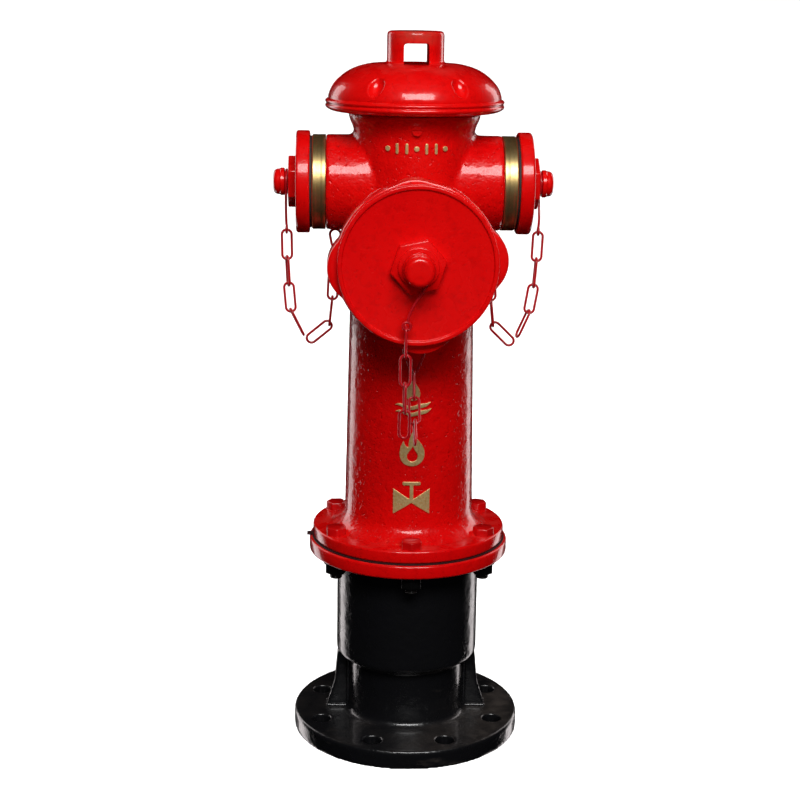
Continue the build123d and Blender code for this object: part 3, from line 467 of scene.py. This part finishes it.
for side in ("left", "right", "front"):
    FINISHES[f"cap_{side}"] = smooth_red
    FINISHES[f"cap_{side}_seal"] = black_rubber
    for name in (f"eye_{side}", f"chain_{side}_fall", f"chain_{side}_return"):
        FINISHES[name] = wire


def dress(name, material):
    mesh = nodes[name].data
    mesh.materials.clear()
    mesh.materials.append(material)


for name, material in FINISHES.items():
    dress(name, material)
print("dressed", len(FINISHES), "nodes; left plain:", sorted(set(nodes) - set(FINISHES)))

# %% [markdown]
# ## Making pieces
# Most of a hydrant is turned or cast, so most pieces start as half a section that is spun about an axis.
# The corners of the section are bevelled before the spin, which rounds every edge of the finished ring.
# Everything is drawn in millimetres about Z, and one matrix then carries it to its outlet.

# %% Helpers for meshes
MERGE = 0.01
NODE_MERGE = 0.00002
RING_STEPS = 160
UPRIGHT = Matrix.Scale(MM, 4)
TO_MM = Matrix.Scale(1 / MM, 4)
SIDE_Z, FRONT_Z = 537.0, 479.0
TO_OUTLET = {
    "left": UPRIGHT @ Matrix.Translation((0, 0, SIDE_Z)) @ Matrix.Rotation(-math.pi / 2, 4, "Y"),
    "right": UPRIGHT @ Matrix.Translation((0, 0, SIDE_Z)) @ Matrix.Rotation(math.pi / 2, 4, "Y"),
    "front": UPRIGHT @ Matrix.Translation((0, 0, FRONT_Z)) @ Matrix.Rotation(math.pi / 2, 4, "X")}


def spin_section(bm, corners, closed=False, steps=RING_STEPS):
    """Spin a half section about Z. Each corner is (radius, height, rounding)."""
    verts = [bm.verts.new((r, 0, z)) for r, z, _ in corners]
    pairs = list(zip(verts, verts[1:])) + ([(verts[-1], verts[0])] if closed else [])
    edges = [bm.edges.new(pair) for pair in pairs]
    made = set(verts)
    for vert, (_, _, rounding) in zip(verts, corners):
        if rounding:
            result = bmesh.ops.bevel(bm, geom=[vert], offset=rounding, offset_type="OFFSET", segments=4,
                                     profile=0.5, affect="VERTICES", material=-1)
            made.discard(vert)
            made.update(result["verts"])
            edges += result["edges"]
    verts = [v for v in made if v.is_valid]
    edges = list({e for v in verts for e in v.link_edges})
    bmesh.ops.spin(bm, geom=verts + edges, cent=(0, 0, 0), axis=(0, 0, 1), angle=2 * math.pi, steps=steps,
                   use_merge=True)


def prism(bm, sides, radius, low, high, turn=0.0, rounding=0.0):
    """A prism about Z, such as a bolt's head, whose edges at the upper end are rounded."""
    turned = Matrix.Rotation(math.radians(turn), 4, "Z") @ Matrix.Translation((0, 0, (low + high) / 2))
    made = bmesh.ops.create_cone(bm, cap_ends=True, segments=sides, radius1=radius, radius2=radius,
                                 depth=high - low, matrix=turned)
    if rounding:
        top = [e for e in {e for v in made["verts"] for e in v.link_edges}
               if all(v.co.z > low + 0.01 for v in e.verts) or abs(e.verts[0].co.z - e.verts[1].co.z) > 0.1]
        bmesh.ops.bevel(bm, geom=top, offset=rounding, offset_type="OFFSET", segments=3, profile=0.5,
                        affect="EDGES", material=-1)


def close_and_face_out(bm):
    bmesh.ops.remove_doubles(bm, verts=bm.verts, dist=MERGE)
    bmesh.ops.dissolve_degenerate(bm, edges=bm.edges, dist=MERGE / 2)
    bmesh.ops.recalc_face_normals(bm, faces=bm.faces)


def make_piece(name, bm, place, body, material, replaced=(), sharp=40):
    """Turn a bmesh in millimetres into a finished piece that rides on a body."""
    close_and_face_out(bm)
    for face in bm.faces:
        face.smooth = True
    for edge in bm.edges:
        edge.smooth = not (len(edge.link_faces) == 2 and edge.calc_face_angle() > math.radians(sharp))
    bm.transform(place)
    mesh = bpy.data.meshes.new(name)
    bm.to_mesh(mesh)
    bm.free()
    return finish_piece(bpy.data.objects.new(name, mesh), body, material, replaced)


def finish_piece(piece, body, material, replaced=()):
    if piece.name not in bpy.context.scene.collection.objects:
        bpy.context.scene.collection.objects.link(piece)
    piece.data.materials.clear()
    piece.data.materials.append(material)
    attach(piece, body)
    if replaced:
        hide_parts(*replaced)
    triangles = sum(len(p.vertices) - 2 for p in piece.data.polygons)
    print("made", piece.name, triangles, "triangles")
    return piece


def scratch_object(name, bm, merged=True):
    """A bmesh as an object that only helps to make a piece."""
    if merged:
        close_and_face_out(bm)
    mesh = bpy.data.meshes.new(name)
    bm.to_mesh(mesh)
    bm.free()
    made = bpy.data.objects.new(name, mesh)
    bpy.context.scene.collection.objects.link(made)
    return made


def apply_modifiers(piece):
    """Replace an object's mesh by what its modifiers make of it."""
    bpy.context.view_layer.update()
    graph = bpy.context.evaluated_depsgraph_get()
    mesh = bpy.data.meshes.new_from_object(piece.evaluated_get(graph))
    piece.modifiers.clear()
    piece.data = mesh


def cut(piece, cutters, operation="DIFFERENCE"):
    for cutter in cutters:
        step = piece.modifiers.new("cut", "BOOLEAN")
        step.operation = operation
        step.solver = "EXACT"
        step.object = cutter
    apply_modifiers(piece)
    for cutter in cutters:
        bpy.data.objects.remove(cutter)


def cast_skin(piece, voxel, smoothing, depth, grain, seed):
    """Melt sharp junctions together, as sand casting does, and give the skin its shallow lumps."""
    remesh = piece.modifiers.new("remesh", "REMESH")
    remesh.mode = "VOXEL"
    remesh.voxel_size = voxel
    remesh.use_smooth_shade = True
    apply_modifiers(piece)
    bm = bmesh.new()
    bm.from_mesh(piece.data)
    for _ in range(smoothing):
        bmesh.ops.smooth_vert(bm, verts=bm.verts, factor=0.5, use_axis_x=True, use_axis_y=True,
                              use_axis_z=True)
    bm.normal_update()
    shift = Vector((seed, seed, seed))
    for vert in bm.verts:
        lump = noise.noise(vert.co / grain + shift) + 0.5 * noise.noise(vert.co / grain * 2.3 - shift)
        vert.co += vert.normal * depth * lump
        vert.co.z = min(max(vert.co.z, cad_low[2] / MM), cad_high[2] / MM)
    for face in bm.faces:
        face.smooth = True
    bm.to_mesh(piece.data)
    bm.free()


print("mesh helpers ready")

# %% [markdown]
# ## The barrel
# The barrel, its three necks and its foot are one casting. The union of plain spun shapes is remeshed, so
# the metal flows from one shape into the next in the small fillets that a foundry leaves. Under the hat the
# wall flares out to carry the bonnet. The flange at the foot is machined, so it stays a crisp ring of its
# own with its six bolt holes.

# %% Barrel casting and its flange
JOINT_Z = 197.2
FLANGE_TOP = 209.2
BARREL_TOP = 597.0
FOOT_R, TOP_R, WALL = 61.4, 55.0, 7.0
FLARE_R = 61.0
FLARE_TOP = 601.6
BOLT_RING, BOLT_HOLE_R = 80.5, 6.75
BOLTS = 6
NECK_ROOT = 20.0
NECKS = {"left": (43.6, 38, 81), "right": (43.6, 38, 81), "front": (59.3, 52, 84)}


def bolt_places():
    for i in range(BOLTS):
        angle = math.radians(360 / BOLTS * i - 90)
        yield Matrix.Translation((BOLT_RING * math.cos(angle), BOLT_RING * math.sin(angle), 0))


def neck(side, radius, end):
    """An outlet's neck, solid, from inside the barrel to its mouth."""
    bm = bmesh.new()
    spin_section(bm, [(0, NECK_ROOT, 0), (radius, NECK_ROOT, 0), (radius, end, 1.2), (0, end, 0)], steps=120)
    bm.transform(TO_MM @ TO_OUTLET[side])
    return scratch_object("neck", bm)


def bore(side, radius, end):
    bm = bmesh.new()
    prism(bm, 96, radius, 0, end + 1)
    bm.transform(TO_MM @ TO_OUTLET[side])
    return scratch_object("bore", bm)


def make_barrel():
    bm = bmesh.new()
    spin_section(bm, [(0, JOINT_Z + 2, 0), (84, JOINT_Z + 2, 0), (83, FLANGE_TOP - 2.4, 0),
                      (74, FLANGE_TOP + 0.2, 0), (FOOT_R + 0.2, FLANGE_TOP + 9, 6), (TOP_R + 0.6, 562, 0),
                      (TOP_R - 0.2, 586, 6),
                      (FLARE_R - 1.4, 595, 3), (FLARE_R, FLARE_TOP, 0.8), (FLARE_R - 3.6, FLARE_TOP, 0.8),
                      (FLARE_R - 3.6, BARREL_TOP, 0), (0, BARREL_TOP, 0)])
    barrel = scratch_object("barrel_casting", bm)
    cut(barrel, [neck(side, outer, end) for side, (outer, _, end) in NECKS.items()], "UNION")
    inside = bmesh.new()
    spin_section(inside, [(0, JOINT_Z - 1, 0), (FOOT_R - WALL, JOINT_Z - 1, 0), (TOP_R - WALL + 1, 572, 4),
                          (34, 581, 2), (34, BARREL_TOP + 1, 0), (0, BARREL_TOP + 1, 0)])
    bores = [bore(side, inner, end) for side, (_, inner, end) in NECKS.items()]
    cut(barrel, [scratch_object("inside", inside)] + bores)
    cast_skin(barrel, voxel=2.1, smoothing=2, depth=0.16, grain=7.0, seed=3.1)
    barrel.data.transform(UPRIGHT)
    finish_piece(barrel, "hydrant", cast_red, ["barrel"])


def make_flange(name, inner, outer, low, high, replaced=()):
    """A ring with rounded edges and a hole for each bolt."""
    bm = bmesh.new()
    spin_section(bm, [(inner, low, 0), (outer, low, 2.2), (outer, high, 2.2), (inner, high, 0)], closed=True,
                 steps=200)
    ring = scratch_object(name, bm)
    cutters = []
    for place in bolt_places():
        hole_bm = bmesh.new()
        prism(hole_bm, 32, BOLT_HOLE_R, low - 2, high + 2)
        hole_bm.transform(place)
        cutters.append(scratch_object("hole", hole_bm))
    cut(ring, cutters)
    bm = bmesh.new()
    bm.from_mesh(ring.data)
    bpy.data.objects.remove(ring)
    make_piece(name, bm, UPRIGHT, "hydrant", smooth_red, replaced)


make_barrel()
make_flange("barrel_flange", 56.0, 92.0, JOINT_Z, FLANGE_TOP)
make_flange("joint_ring", 66.5, 95.5, 183.0, 196.0, ["lower_flange"])

# %% [markdown]
# ## Outlet rings
# Each brass ring is turned in a lathe and screwed into its neck. A few shallow grooves run round the middle
# of its outside, between two plain lands, and its mouth has a chamfer.

# %% Brass rings
GROOVES = 5
SIDE_RING = {"bore_r": 36.0, "outer": 43.4, "low": 81.0, "high": 93.5, "spigot_r": 38.0, "spigot_low": 66.0,
             "lip": 1.0}
FRONT_RING = {"bore_r": 46.0, "outer": 62.5, "low": 84.0, "high": 108.0, "spigot_r": 52.0, "spigot_low": 70.0,
              "lip": 1.5}


def ring_section(bore_r, outer, low, high, spigot_r, spigot_low, lip):
    """A turned ring: spigot, then a grooved outside between two plain lands."""
    corners = [(bore_r, spigot_low, 0), (spigot_r, spigot_low, 0.4), (spigot_r, low, 0), (outer, low, 0.4)]
    land = (high - low) * 0.34
    pitch = (high - low - 2 * land) / GROOVES
    for i in range(GROOVES):
        z = low + land + pitch * i
        corners += [(outer, z, 0), (outer - 0.14, z + pitch * 0.5, 0)]
    corners += [(outer, high - land, 0), (outer, high - lip, 0.3), (outer - lip, high, 0.3),
                (bore_r, high, 0.4)]
    return corners


def make_brass_ring(side, sizes, along):
    bm = bmesh.new()
    spin_section(bm, ring_section(**sizes), closed=True)
    make_piece(f"brass_ring_{side}", bm, TO_OUTLET[side], "hydrant", brass[along],
               [f"outlet_ring_{side}"])


make_brass_ring("left", SIDE_RING, "x")
make_brass_ring("right", SIDE_RING, "x")
make_brass_ring("front", FRONT_RING, "y")

# %% [markdown]
# ## Blind caps
# A cap is a thick disc with a hexagon for the hydrant key and a grooved boss, in which the chain's wire
# eye is free to turn. The front cap has a raised rim round a flat face, and a skirt whose four lobes give a
# grip. The skirt starts as a circle, is pulled out at each lobe, and is then extruded upward.

# %% Caps
SIDE_CAP = {"disc": (95.4, 108.0, 46.8), "hex": (115.4, 41.5, 30.0), "groove": 3.3, "boss": (12.6, 10.4)}
FRONT_CAP = {"disc": (112.0, 124.0, 70.0), "hex": (133.0, 43.6, 42.0), "groove": 3.3, "boss": (14.25, 20.0)}
GROOVE_DEPTH = 3.6
COLLAR_R, COLLAR_RISE = 18.0, 2.4
PLUG_R, PLUG_BORE_R, PLUG_LOW = 35.65, 30.0, 83.0


def add_boss(bm, hex_top, groove, radius, length):
    """The boss beyond the hexagon: collar, groove, and a rounded end with a small step."""
    root = radius - GROOVE_DEPTH
    start = hex_top + groove
    end = start + length
    spin_section(bm, [(0, hex_top - 1, 0), (radius, hex_top - 1, 0), (radius, hex_top - 0.02, 0.3),
                      (root, hex_top, 0), (root, start, 0.2), (radius, start, 0.9),
                      (radius, start + length * 0.34, 0), (radius - 0.8, start + length * 0.42, 0.5),
                      (radius - 1.1, end - 2.2, 1.6), (radius - 4.0, end, 1.4), (0, end, 0)], steps=96)


def make_side_cap(side):
    low, high, radius = SIDE_CAP["disc"]
    hex_top, flats, turn = SIDE_CAP["hex"]
    bm = bmesh.new()
    spin_section(bm, [(PLUG_BORE_R, PLUG_LOW, 0.5), (PLUG_R, PLUG_LOW, 0.5), (PLUG_R, low, 0.6),
                      (radius, low, 1.7), (radius, high, 2.2), (PLUG_BORE_R, high, 0), (0, high, 0)])
    spin_section(bm, [(0, high - 3, 0), (PLUG_BORE_R, high - 3, 0), (PLUG_BORE_R, PLUG_LOW, 0)])
    prism(bm, 6, flats / math.sqrt(3), high - 0.5, hex_top, turn, 1.3)
    add_boss(bm, hex_top, SIDE_CAP["groove"], *SIDE_CAP["boss"])
    make_piece(f"blind_cap_{side}", bm, TO_OUTLET[side], f"{side}_cap", smooth_red,
               [f"cap_{side}"])


LOBE_REACHES = (79.0, 73.5, 79.0, 79.0)
SKIRT_R, LOBE_R, LOBE_TURN = 71.5, 32.0, 4.0
SKIRT_LOW, SKIRT_TOP = 90.0, 116.0
SKIRT_BORE_R, SKIRT_TOP_R, SKIRT_FOOT_R = 62.85, 64.0, 68.0


def skirt_radius(angle):
    """How far the lobed outline reaches at an angle, with the lobes' feet softened."""
    step = 2 * math.pi / len(LOBE_REACHES)
    turned = angle - math.radians(LOBE_TURN)
    off = (turned + step / 2) % step - step / 2
    centre = LOBE_REACHES[round(turned / step) % len(LOBE_REACHES)] - LOBE_R
    lobe = centre * math.cos(off) + math.sqrt(max(0.0, LOBE_R ** 2 - (centre * math.sin(off)) ** 2))
    return SKIRT_R + 0.5 * (lobe - SKIRT_R + math.sqrt((lobe - SKIRT_R) ** 2 + 0.8))


def open_loop(bm, height, near, far):
    """The open edges at a height, between two distances from the axis."""
    return [e for e in bm.edges if e.is_boundary and abs(e.verts[0].co.z - height) < 0.1
            and near < e.verts[0].co.xy.length < far]


def make_front_cap():
    low, high, radius = FRONT_CAP["disc"]
    hex_top, flats, turn = FRONT_CAP["hex"]
    bm = bmesh.new()
    made = bmesh.ops.create_circle(bm, cap_ends=False, segments=480, radius=1.0)
    for vert in made["verts"]:
        angle = math.atan2(vert.co.y, vert.co.x)
        reach = min(skirt_radius(angle), max(LOBE_REACHES))
        vert.co = (reach * math.cos(angle), reach * math.sin(angle), SKIRT_LOW)
    rim = bm.edges[:]
    for inset, rise in ((0.0, SKIRT_TOP - 1.8 - SKIRT_LOW), (-0.5, 1.2), (-1.4, 0.6), (-3.0, 0.0)):
        ring = bmesh.ops.extrude_edge_only(bm, edges=rim)["geom"]
        verts = [v for v in ring if isinstance(v, bmesh.types.BMVert)]
        for vert in verts:
            flat = vert.co.xy.normalized() * inset
            vert.co += Vector((flat.x, flat.y, rise))
        rim = [e for e in ring if isinstance(e, bmesh.types.BMEdge)]
    spin_section(bm, [(SKIRT_TOP_R, SKIRT_TOP, 0), (SKIRT_BORE_R, SKIRT_TOP, 0),
                      (SKIRT_BORE_R, SKIRT_LOW, 0.8), (SKIRT_FOOT_R, SKIRT_LOW, 0)], steps=480)
    loops = [open_loop(bm, SKIRT_TOP, 66, 90) + open_loop(bm, SKIRT_TOP, 63.8, 64.2),
             open_loop(bm, SKIRT_LOW, 69, 90) + open_loop(bm, SKIRT_LOW, 67.8, 68.2)]
    for edges in loops:
        bmesh.ops.bridge_loops(bm, edges=edges)
    spin_section(bm, [(0, low, 0), (radius, low, 0.6), (radius, high, 1.1), (radius - 4.0, high, 1.0),
                      (radius - 4.0, high - 2.0, 0.8), (0, high - 2.0, 0)], steps=200)
    prism(bm, 6, flats / math.sqrt(3), high - 2.5, hex_top - COLLAR_RISE, turn, 1.2)
    spin_section(bm, [(0, hex_top - 4, 0), (COLLAR_R, hex_top - 4, 0), (COLLAR_R, hex_top, 1.2),
                      (0, hex_top, 0)])
    add_boss(bm, hex_top, FRONT_CAP["groove"], *FRONT_CAP["boss"])
    make_piece("blind_cap_front", bm, TO_OUTLET["front"], "front_cap", smooth_red, ["cap_front"])


make_side_cap("left")
make_side_cap("right")
make_front_cap()

# %% [markdown]
# ## The hat
# The hat is what turns the valve. It is cast: a dome with a boss on top, a window through the boss for a
# bar, and six thumb-deep pockets round the shoulder. The brim has two thin beads. The dome is cut and then
# remeshed for its soft edges, and the brim is a crisp spun ring that the dome runs into.

# %% Hat
HAT_Z, BOSS_TOP = 602.4, 674.0
HAT_R, BOSS_R = 82.0, 26.0
WINDOW, WINDOW_Z = (22.6, 66, 19.4), 653.5
HUB_BORE_R, HUB_R, HUB_LOW, HUB_TOP = 16.4, 24.0, 617.6, 640.0
POCKETS, POCKET_R, POCKET_LEAN = 6, 9.2, -34.0
POCKET_PLACE = (76.2, 0, 629.5)


def make_dome():
    bm = bmesh.new()
    spin_section(bm, [(40, 636.5, 0), (58, 630, 3), (68, 615, 3), (68.5, HAT_Z + 3, 0), (76.5, HAT_Z + 3, 1),
                      (79.4, 614.6, 1.5), (77.8, 622.0, 5), (69.0, 634.6, 12), (47, 644.8, 10),
                      (BOSS_R, 645.6, 2.2), (BOSS_R, BOSS_TOP, 3.4), (0, BOSS_TOP, 0), (0, 636.5, 0)])
    spin_section(bm, [(0, 636.5, 0), (40, 636.5, 0)])
    dome = scratch_object("hat_dome", bm)
    window = bmesh.new()
    place = Matrix.Translation((0, 0, WINDOW_Z)) @ Matrix.Diagonal((*WINDOW, 1))
    bmesh.ops.create_cube(window, size=1, matrix=place)
    along = [e for e in window.edges if abs(e.verts[0].co.y - e.verts[1].co.y) > 1]
    bmesh.ops.bevel(window, geom=along, offset=2.2, offset_type="OFFSET", segments=4, profile=0.5,
                    affect="EDGES", material=-1)
    cutters = [scratch_object("window", window)]
    for i in range(POCKETS):
        turn = Matrix.Rotation(math.radians(-90 + 180 / POCKETS + 360 / POCKETS * i), 4, "Z")
        lean = Matrix.Translation(POCKET_PLACE) @ Matrix.Rotation(math.radians(POCKET_LEAN), 4, "Y")
        scoop = bmesh.new()
        bmesh.ops.create_uvsphere(scoop, u_segments=40, v_segments=24, radius=POCKET_R,
                                  matrix=turn @ lean @ Matrix.Diagonal((1.0, 0.86, 1.35, 1)))
        cutters.append(scratch_object("pocket", scoop))
    cut(dome, cutters)
    cast_skin(dome, voxel=0.96, smoothing=2, depth=0.05, grain=6.0, seed=7.7)
    dome.data.transform(UPRIGHT)
    finish_piece(dome, "operating_hat", hat_red, ["hat"])


def make_brim():
    bm = bmesh.new()
    z = HAT_Z
    spin_section(bm, [(68.0, z, 0.8), (HAT_R - 6, z, 3), (HAT_R - 0.4, z + 3.2, 1.4),
                      (HAT_R - 0.1, z + 5.4, 1.0), (HAT_R - 1.5, z + 7.0, 0.5), (HAT_R - 0.1, z + 8.2, 0.9),
                      (HAT_R - 0.3, z + 10.0, 0.9), (HAT_R - 3.2, z + 11.6, 0.8), (HAT_R - 6.0, z + 11.4, 0),
                      (68.0, z + 6.0, 0)],
                 closed=True, steps=220)
    make_piece("hat_brim", bm, UPRIGHT, "operating_hat", smooth_red)


def make_hub():
    """The socket inside the hat that sits on the nut's hexagon."""
    bm = bmesh.new()
    spin_section(bm, [(HUB_BORE_R, HUB_LOW, 0.4), (HUB_R, HUB_LOW, 0.8), (HUB_R, HUB_TOP, 0),
                      (HUB_BORE_R, HUB_TOP, 0)], closed=True)
    make_piece("hat_hub", bm, UPRIGHT, "operating_hat", smooth_red)


make_dome()
make_brim()
make_hub()

# %% [markdown]
# ## Flange fasteners
# Six bolts hold the mid joint. The heads above were painted red with the barrel. Below the joint the nuts,
# the washers and the ridged tail that stands out of each nut are black.

# %% Bolts, nuts and washers
BOLT_R, HEAD_FLATS, HEAD_TOP = 6.0, 18.0, 216.7
NUT_LOW, NUT_TOP, TAIL = 170.5, 180.5, 5.0
WASHER_R, WASHER_TOP = 12.0, 183.0
RIDGES, RIDGE_DEPTH = 6, 0.7


def make_fasteners():
    heads, nuts, washers = bmesh.new(), bmesh.new(), bmesh.new()
    for i, place in enumerate(bolt_places()):
        turned = place @ Matrix.Rotation(math.radians(17 * i * i), 4, "Z")
        one = bmesh.new()
        prism(one, 6, HEAD_FLATS / math.sqrt(3), FLANGE_TOP, HEAD_TOP, 0, 1.4)
        corners = [(0, FLANGE_TOP + 1, 0), (BOLT_R, FLANGE_TOP + 1, 0), (BOLT_R, NUT_TOP, 0)]
        low = NUT_LOW - TAIL
        pitch = (NUT_LOW + 2 - low) / RIDGES
        for k in range(RIDGES):
            z = NUT_LOW + 2 - pitch * k
            corners += [(BOLT_R, z, 0.12), (BOLT_R - RIDGE_DEPTH, z - pitch / 2, 0.12)]
        corners += [(BOLT_R - RIDGE_DEPTH, low + 0.3, 0), (BOLT_R - 1.8, low, 0), (0, low, 0)]
        spin_section(one, corners, steps=32)
        add_copy(heads, one, turned)
        one = bmesh.new()
        prism(one, 6, HEAD_FLATS / math.sqrt(3), -NUT_TOP, -NUT_LOW, 9 * i, 1.0)
        one.transform(Matrix.Diagonal((1, 1, -1, 1)))
        add_copy(nuts, one, place)
        one = bmesh.new()
        spin_section(one, [(6.5, NUT_TOP, 0), (WASHER_R, NUT_TOP, 0.5), (WASHER_R, WASHER_TOP, 0.5),
                           (6.5, WASHER_TOP, 0)], closed=True, steps=48)
        add_copy(washers, one, place)
    make_piece("joint_bolts", heads, UPRIGHT, "hydrant", bolt_paint, ["flange_bolts"])
    make_piece("joint_nuts", nuts, UPRIGHT, "hydrant", black_steel, ["flange_nuts"])
    make_piece("joint_washers", washers, UPRIGHT, "hydrant", black_steel, ["flange_washers"])


def add_copy(target, source, place):
    """Move one bmesh into another, and free it."""
    source.transform(place)
    mesh = bpy.data.meshes.new("copy")
    source.to_mesh(mesh)
    source.free()
    target.from_mesh(mesh)
    bpy.data.meshes.remove(mesh)


make_fasteners()

# %% [markdown]
# ## Wire eyes
# Each cap hangs on a wire eye. The wire goes once round the boss's groove, and its two ends lie together
# in one shank that runs down to a small ring, which holds the first link of the chain. Wires are curves
# with a round bevel, made a mesh at the end.

# %% Eyes
WIRE_R = 1.2
TIP_R = 3.4
EYES = {"front": (FRONT_CAP, 51.0, -11.0), "left": (SIDE_CAP, 44.0, -90.0), "right": (SIDE_CAP, 44.0, 90.0)}


def wire_mesh(name, runs, place, body, replaced):
    """A wire piece from runs of points in millimetres; each run is (points, closed)."""
    curve = bpy.data.curves.new(name, "CURVE")
    curve.dimensions = "3D"
    curve.bevel_depth = WIRE_R
    curve.bevel_resolution = 4
    curve.resolution_u = 8
    curve.use_fill_caps = True
    for points, closed in runs:
        spline = curve.splines.new("NURBS")
        spline.points.add(len(points) - 1)
        for point, co in zip(spline.points, points):
            point.co = (*co, 1)
        spline.order_u = 4
        spline.use_cyclic_u = closed
        spline.use_endpoint_u = not closed
    source = bpy.data.objects.new(name, curve)
    bpy.context.scene.collection.objects.link(source)
    bpy.context.view_layer.update()
    mesh = bpy.data.meshes.new_from_object(source.evaluated_get(bpy.context.evaluated_depsgraph_get()))
    bpy.data.objects.remove(source)
    bm = bmesh.new()
    bm.from_mesh(mesh)
    make_piece(name, bm, place, body, wire, replaced)


def ring_points(radius, centre=(0, 0), count=16):
    """Control points whose smooth curve is a circle of this radius."""
    grow = radius / (1 - (2 * math.pi / count) ** 2 / 6)
    return [(centre[0] + grow * math.cos(2 * math.pi * i / count),
             centre[1] + grow * math.sin(2 * math.pi * i / count), 0.0) for i in range(count)]


def make_eye(side, cap, drop, lean):
    """drop is how far the tip hangs below the axis; lean turns the whole eye about the boss, in degrees."""
    boss_r = cap["boss"][0]
    at = cap["hex"][0] + cap["groove"] / 2
    inner = boss_r - GROOVE_DEPTH + 0.45 + WIRE_R
    tip = (0.0, -drop)
    start = (inner * 0.97, -inner * 0.25)
    shank = [(start[0], start[1], 0), (inner * 0.98, -inner * 0.62, 0.2), (inner * 0.62, -inner * 1.5, 0.5),
             (inner * 0.16, -drop * 0.62, 0.6), (-0.4, -drop + TIP_R * 2.6, 0.5),
             (0.2, -drop + TIP_R * 1.15, 0.2)]
    runs = [(ring_points(inner), True), (ring_points(TIP_R, tip, 12), True), (shank, False)]
    place = TO_OUTLET[side] @ Matrix.Translation((0, 0, at)) @ Matrix.Rotation(math.radians(lean), 4, "Z")
    wire_mesh(f"wire_eye_{side}", runs, place, f"{side}_eye", [f"eye_{side}"])


for side, (cap, drop, lean) in EYES.items():
    make_eye(side, cap, drop, lean)

# %% [markdown]
# ## Raised marks
# The marks on the front are cast with the barrel and picked out with gold paint. Each is melted at its
# edges, as a sand mould leaves it, by remeshing the plain relief and smoothing it.

# %% Marks
def make_marks():
    bm = bmesh.new()
    bm.from_mesh(nodes["relief_marks"].data)
    bmesh.ops.remove_doubles(bm, verts=bm.verts, dist=NODE_MERGE)
    bm.transform(TO_MM)
    marks = scratch_object("gold_marks", bm, merged=False)
    cast_skin(marks, voxel=0.32, smoothing=3, depth=0.05, grain=1.6, seed=5.3)
    marks.data.transform(UPRIGHT)
    finish_piece(marks, "hydrant", gold, ["relief_marks"])


make_marks()

# %% [markdown]
# ## The base casting
# The bottom end is an iron casting with two ribs between its flange and the chamber that houses the valve.
# The plain solid is merged, the feet of the ribs are drawn in a little, and the whole is remeshed, so every
# inner corner gets the soft fillet and every outer edge the slight wear of a painted casting.

# %% Base casting
BASE_TOP = 18.0
RIB_HALF, RIB_TOP = 6.0, 77.0
RIB_START = 70.0


def make_base():
    bm = bmesh.new()
    bm.from_mesh(nodes["base_casting"].data)
    bmesh.ops.remove_doubles(bm, verts=bm.verts, dist=NODE_MERGE)
    bm.transform(TO_MM)
    for vert in bm.verts:
        x, y, z = vert.co
        if abs(y) < RIB_HALF + 0.5 and BASE_TOP - 0.1 < z < RIB_TOP and abs(x) > RIB_START:
            vert.co.x = math.copysign(RIB_START + (abs(x) - RIB_START) * 0.5, x)
    base = scratch_object("cast_base", bm, merged=False)
    cast_skin(base, voxel=1.75, smoothing=1, depth=0.1, grain=8.0, seed=2.4)
    base.data.transform(UPRIGHT)
    finish_piece(base, "hydrant", black, ["base_casting"])


make_base()

# %% [markdown]
# ## Weld beads
# The two ribs are welded to the base. A bead of weld is a row of overlapping drops, so drops of slightly
# different sizes are laid along the foot of each rib and up its inner end, and melted together.

# %% Weld beads
RIB_FOOT, RIB_IN, RIB_ROOT = 77.0, 60.0, 57.5
DROP_R, DROP_STEP = 2.0, 2.1


def make_welds():
    bm = bmesh.new()
    for turn in (0, math.pi):
        for side in (-1, 1):
            place = Matrix.Rotation(turn, 4, "Z")
            y = side * (RIB_HALF + 0.6)
            for a, b in (((RIB_IN, y, BASE_TOP + 0.8), (RIB_FOOT, y, BASE_TOP + 0.8)),
                         ((RIB_ROOT, y, BASE_TOP + 3), (RIB_ROOT, y, RIB_TOP - 1))):
                drops = int((Vector(b) - Vector(a)).length / DROP_STEP)
                for i in range(drops + 1):
                    spot = Vector(a).lerp(Vector(b), i / drops)
                    wobble = 0.25 * noise.noise(spot * 0.9)
                    size = Matrix.Diagonal((DROP_R + 0.1 + wobble, DROP_R - wobble, DROP_R + wobble, 1))
                    bmesh.ops.create_icosphere(bm, subdivisions=2, radius=1.0,
                                               matrix=place @ Matrix.Translation(spot) @ size)
    welds = scratch_object("rib_welds", bm, merged=False)
    cast_skin(welds, voxel=0.6, smoothing=1, depth=0.08, grain=2.0, seed=1.3)
    welds.data.transform(UPRIGHT)
    finish_piece(welds, "hydrant", black)


make_welds()
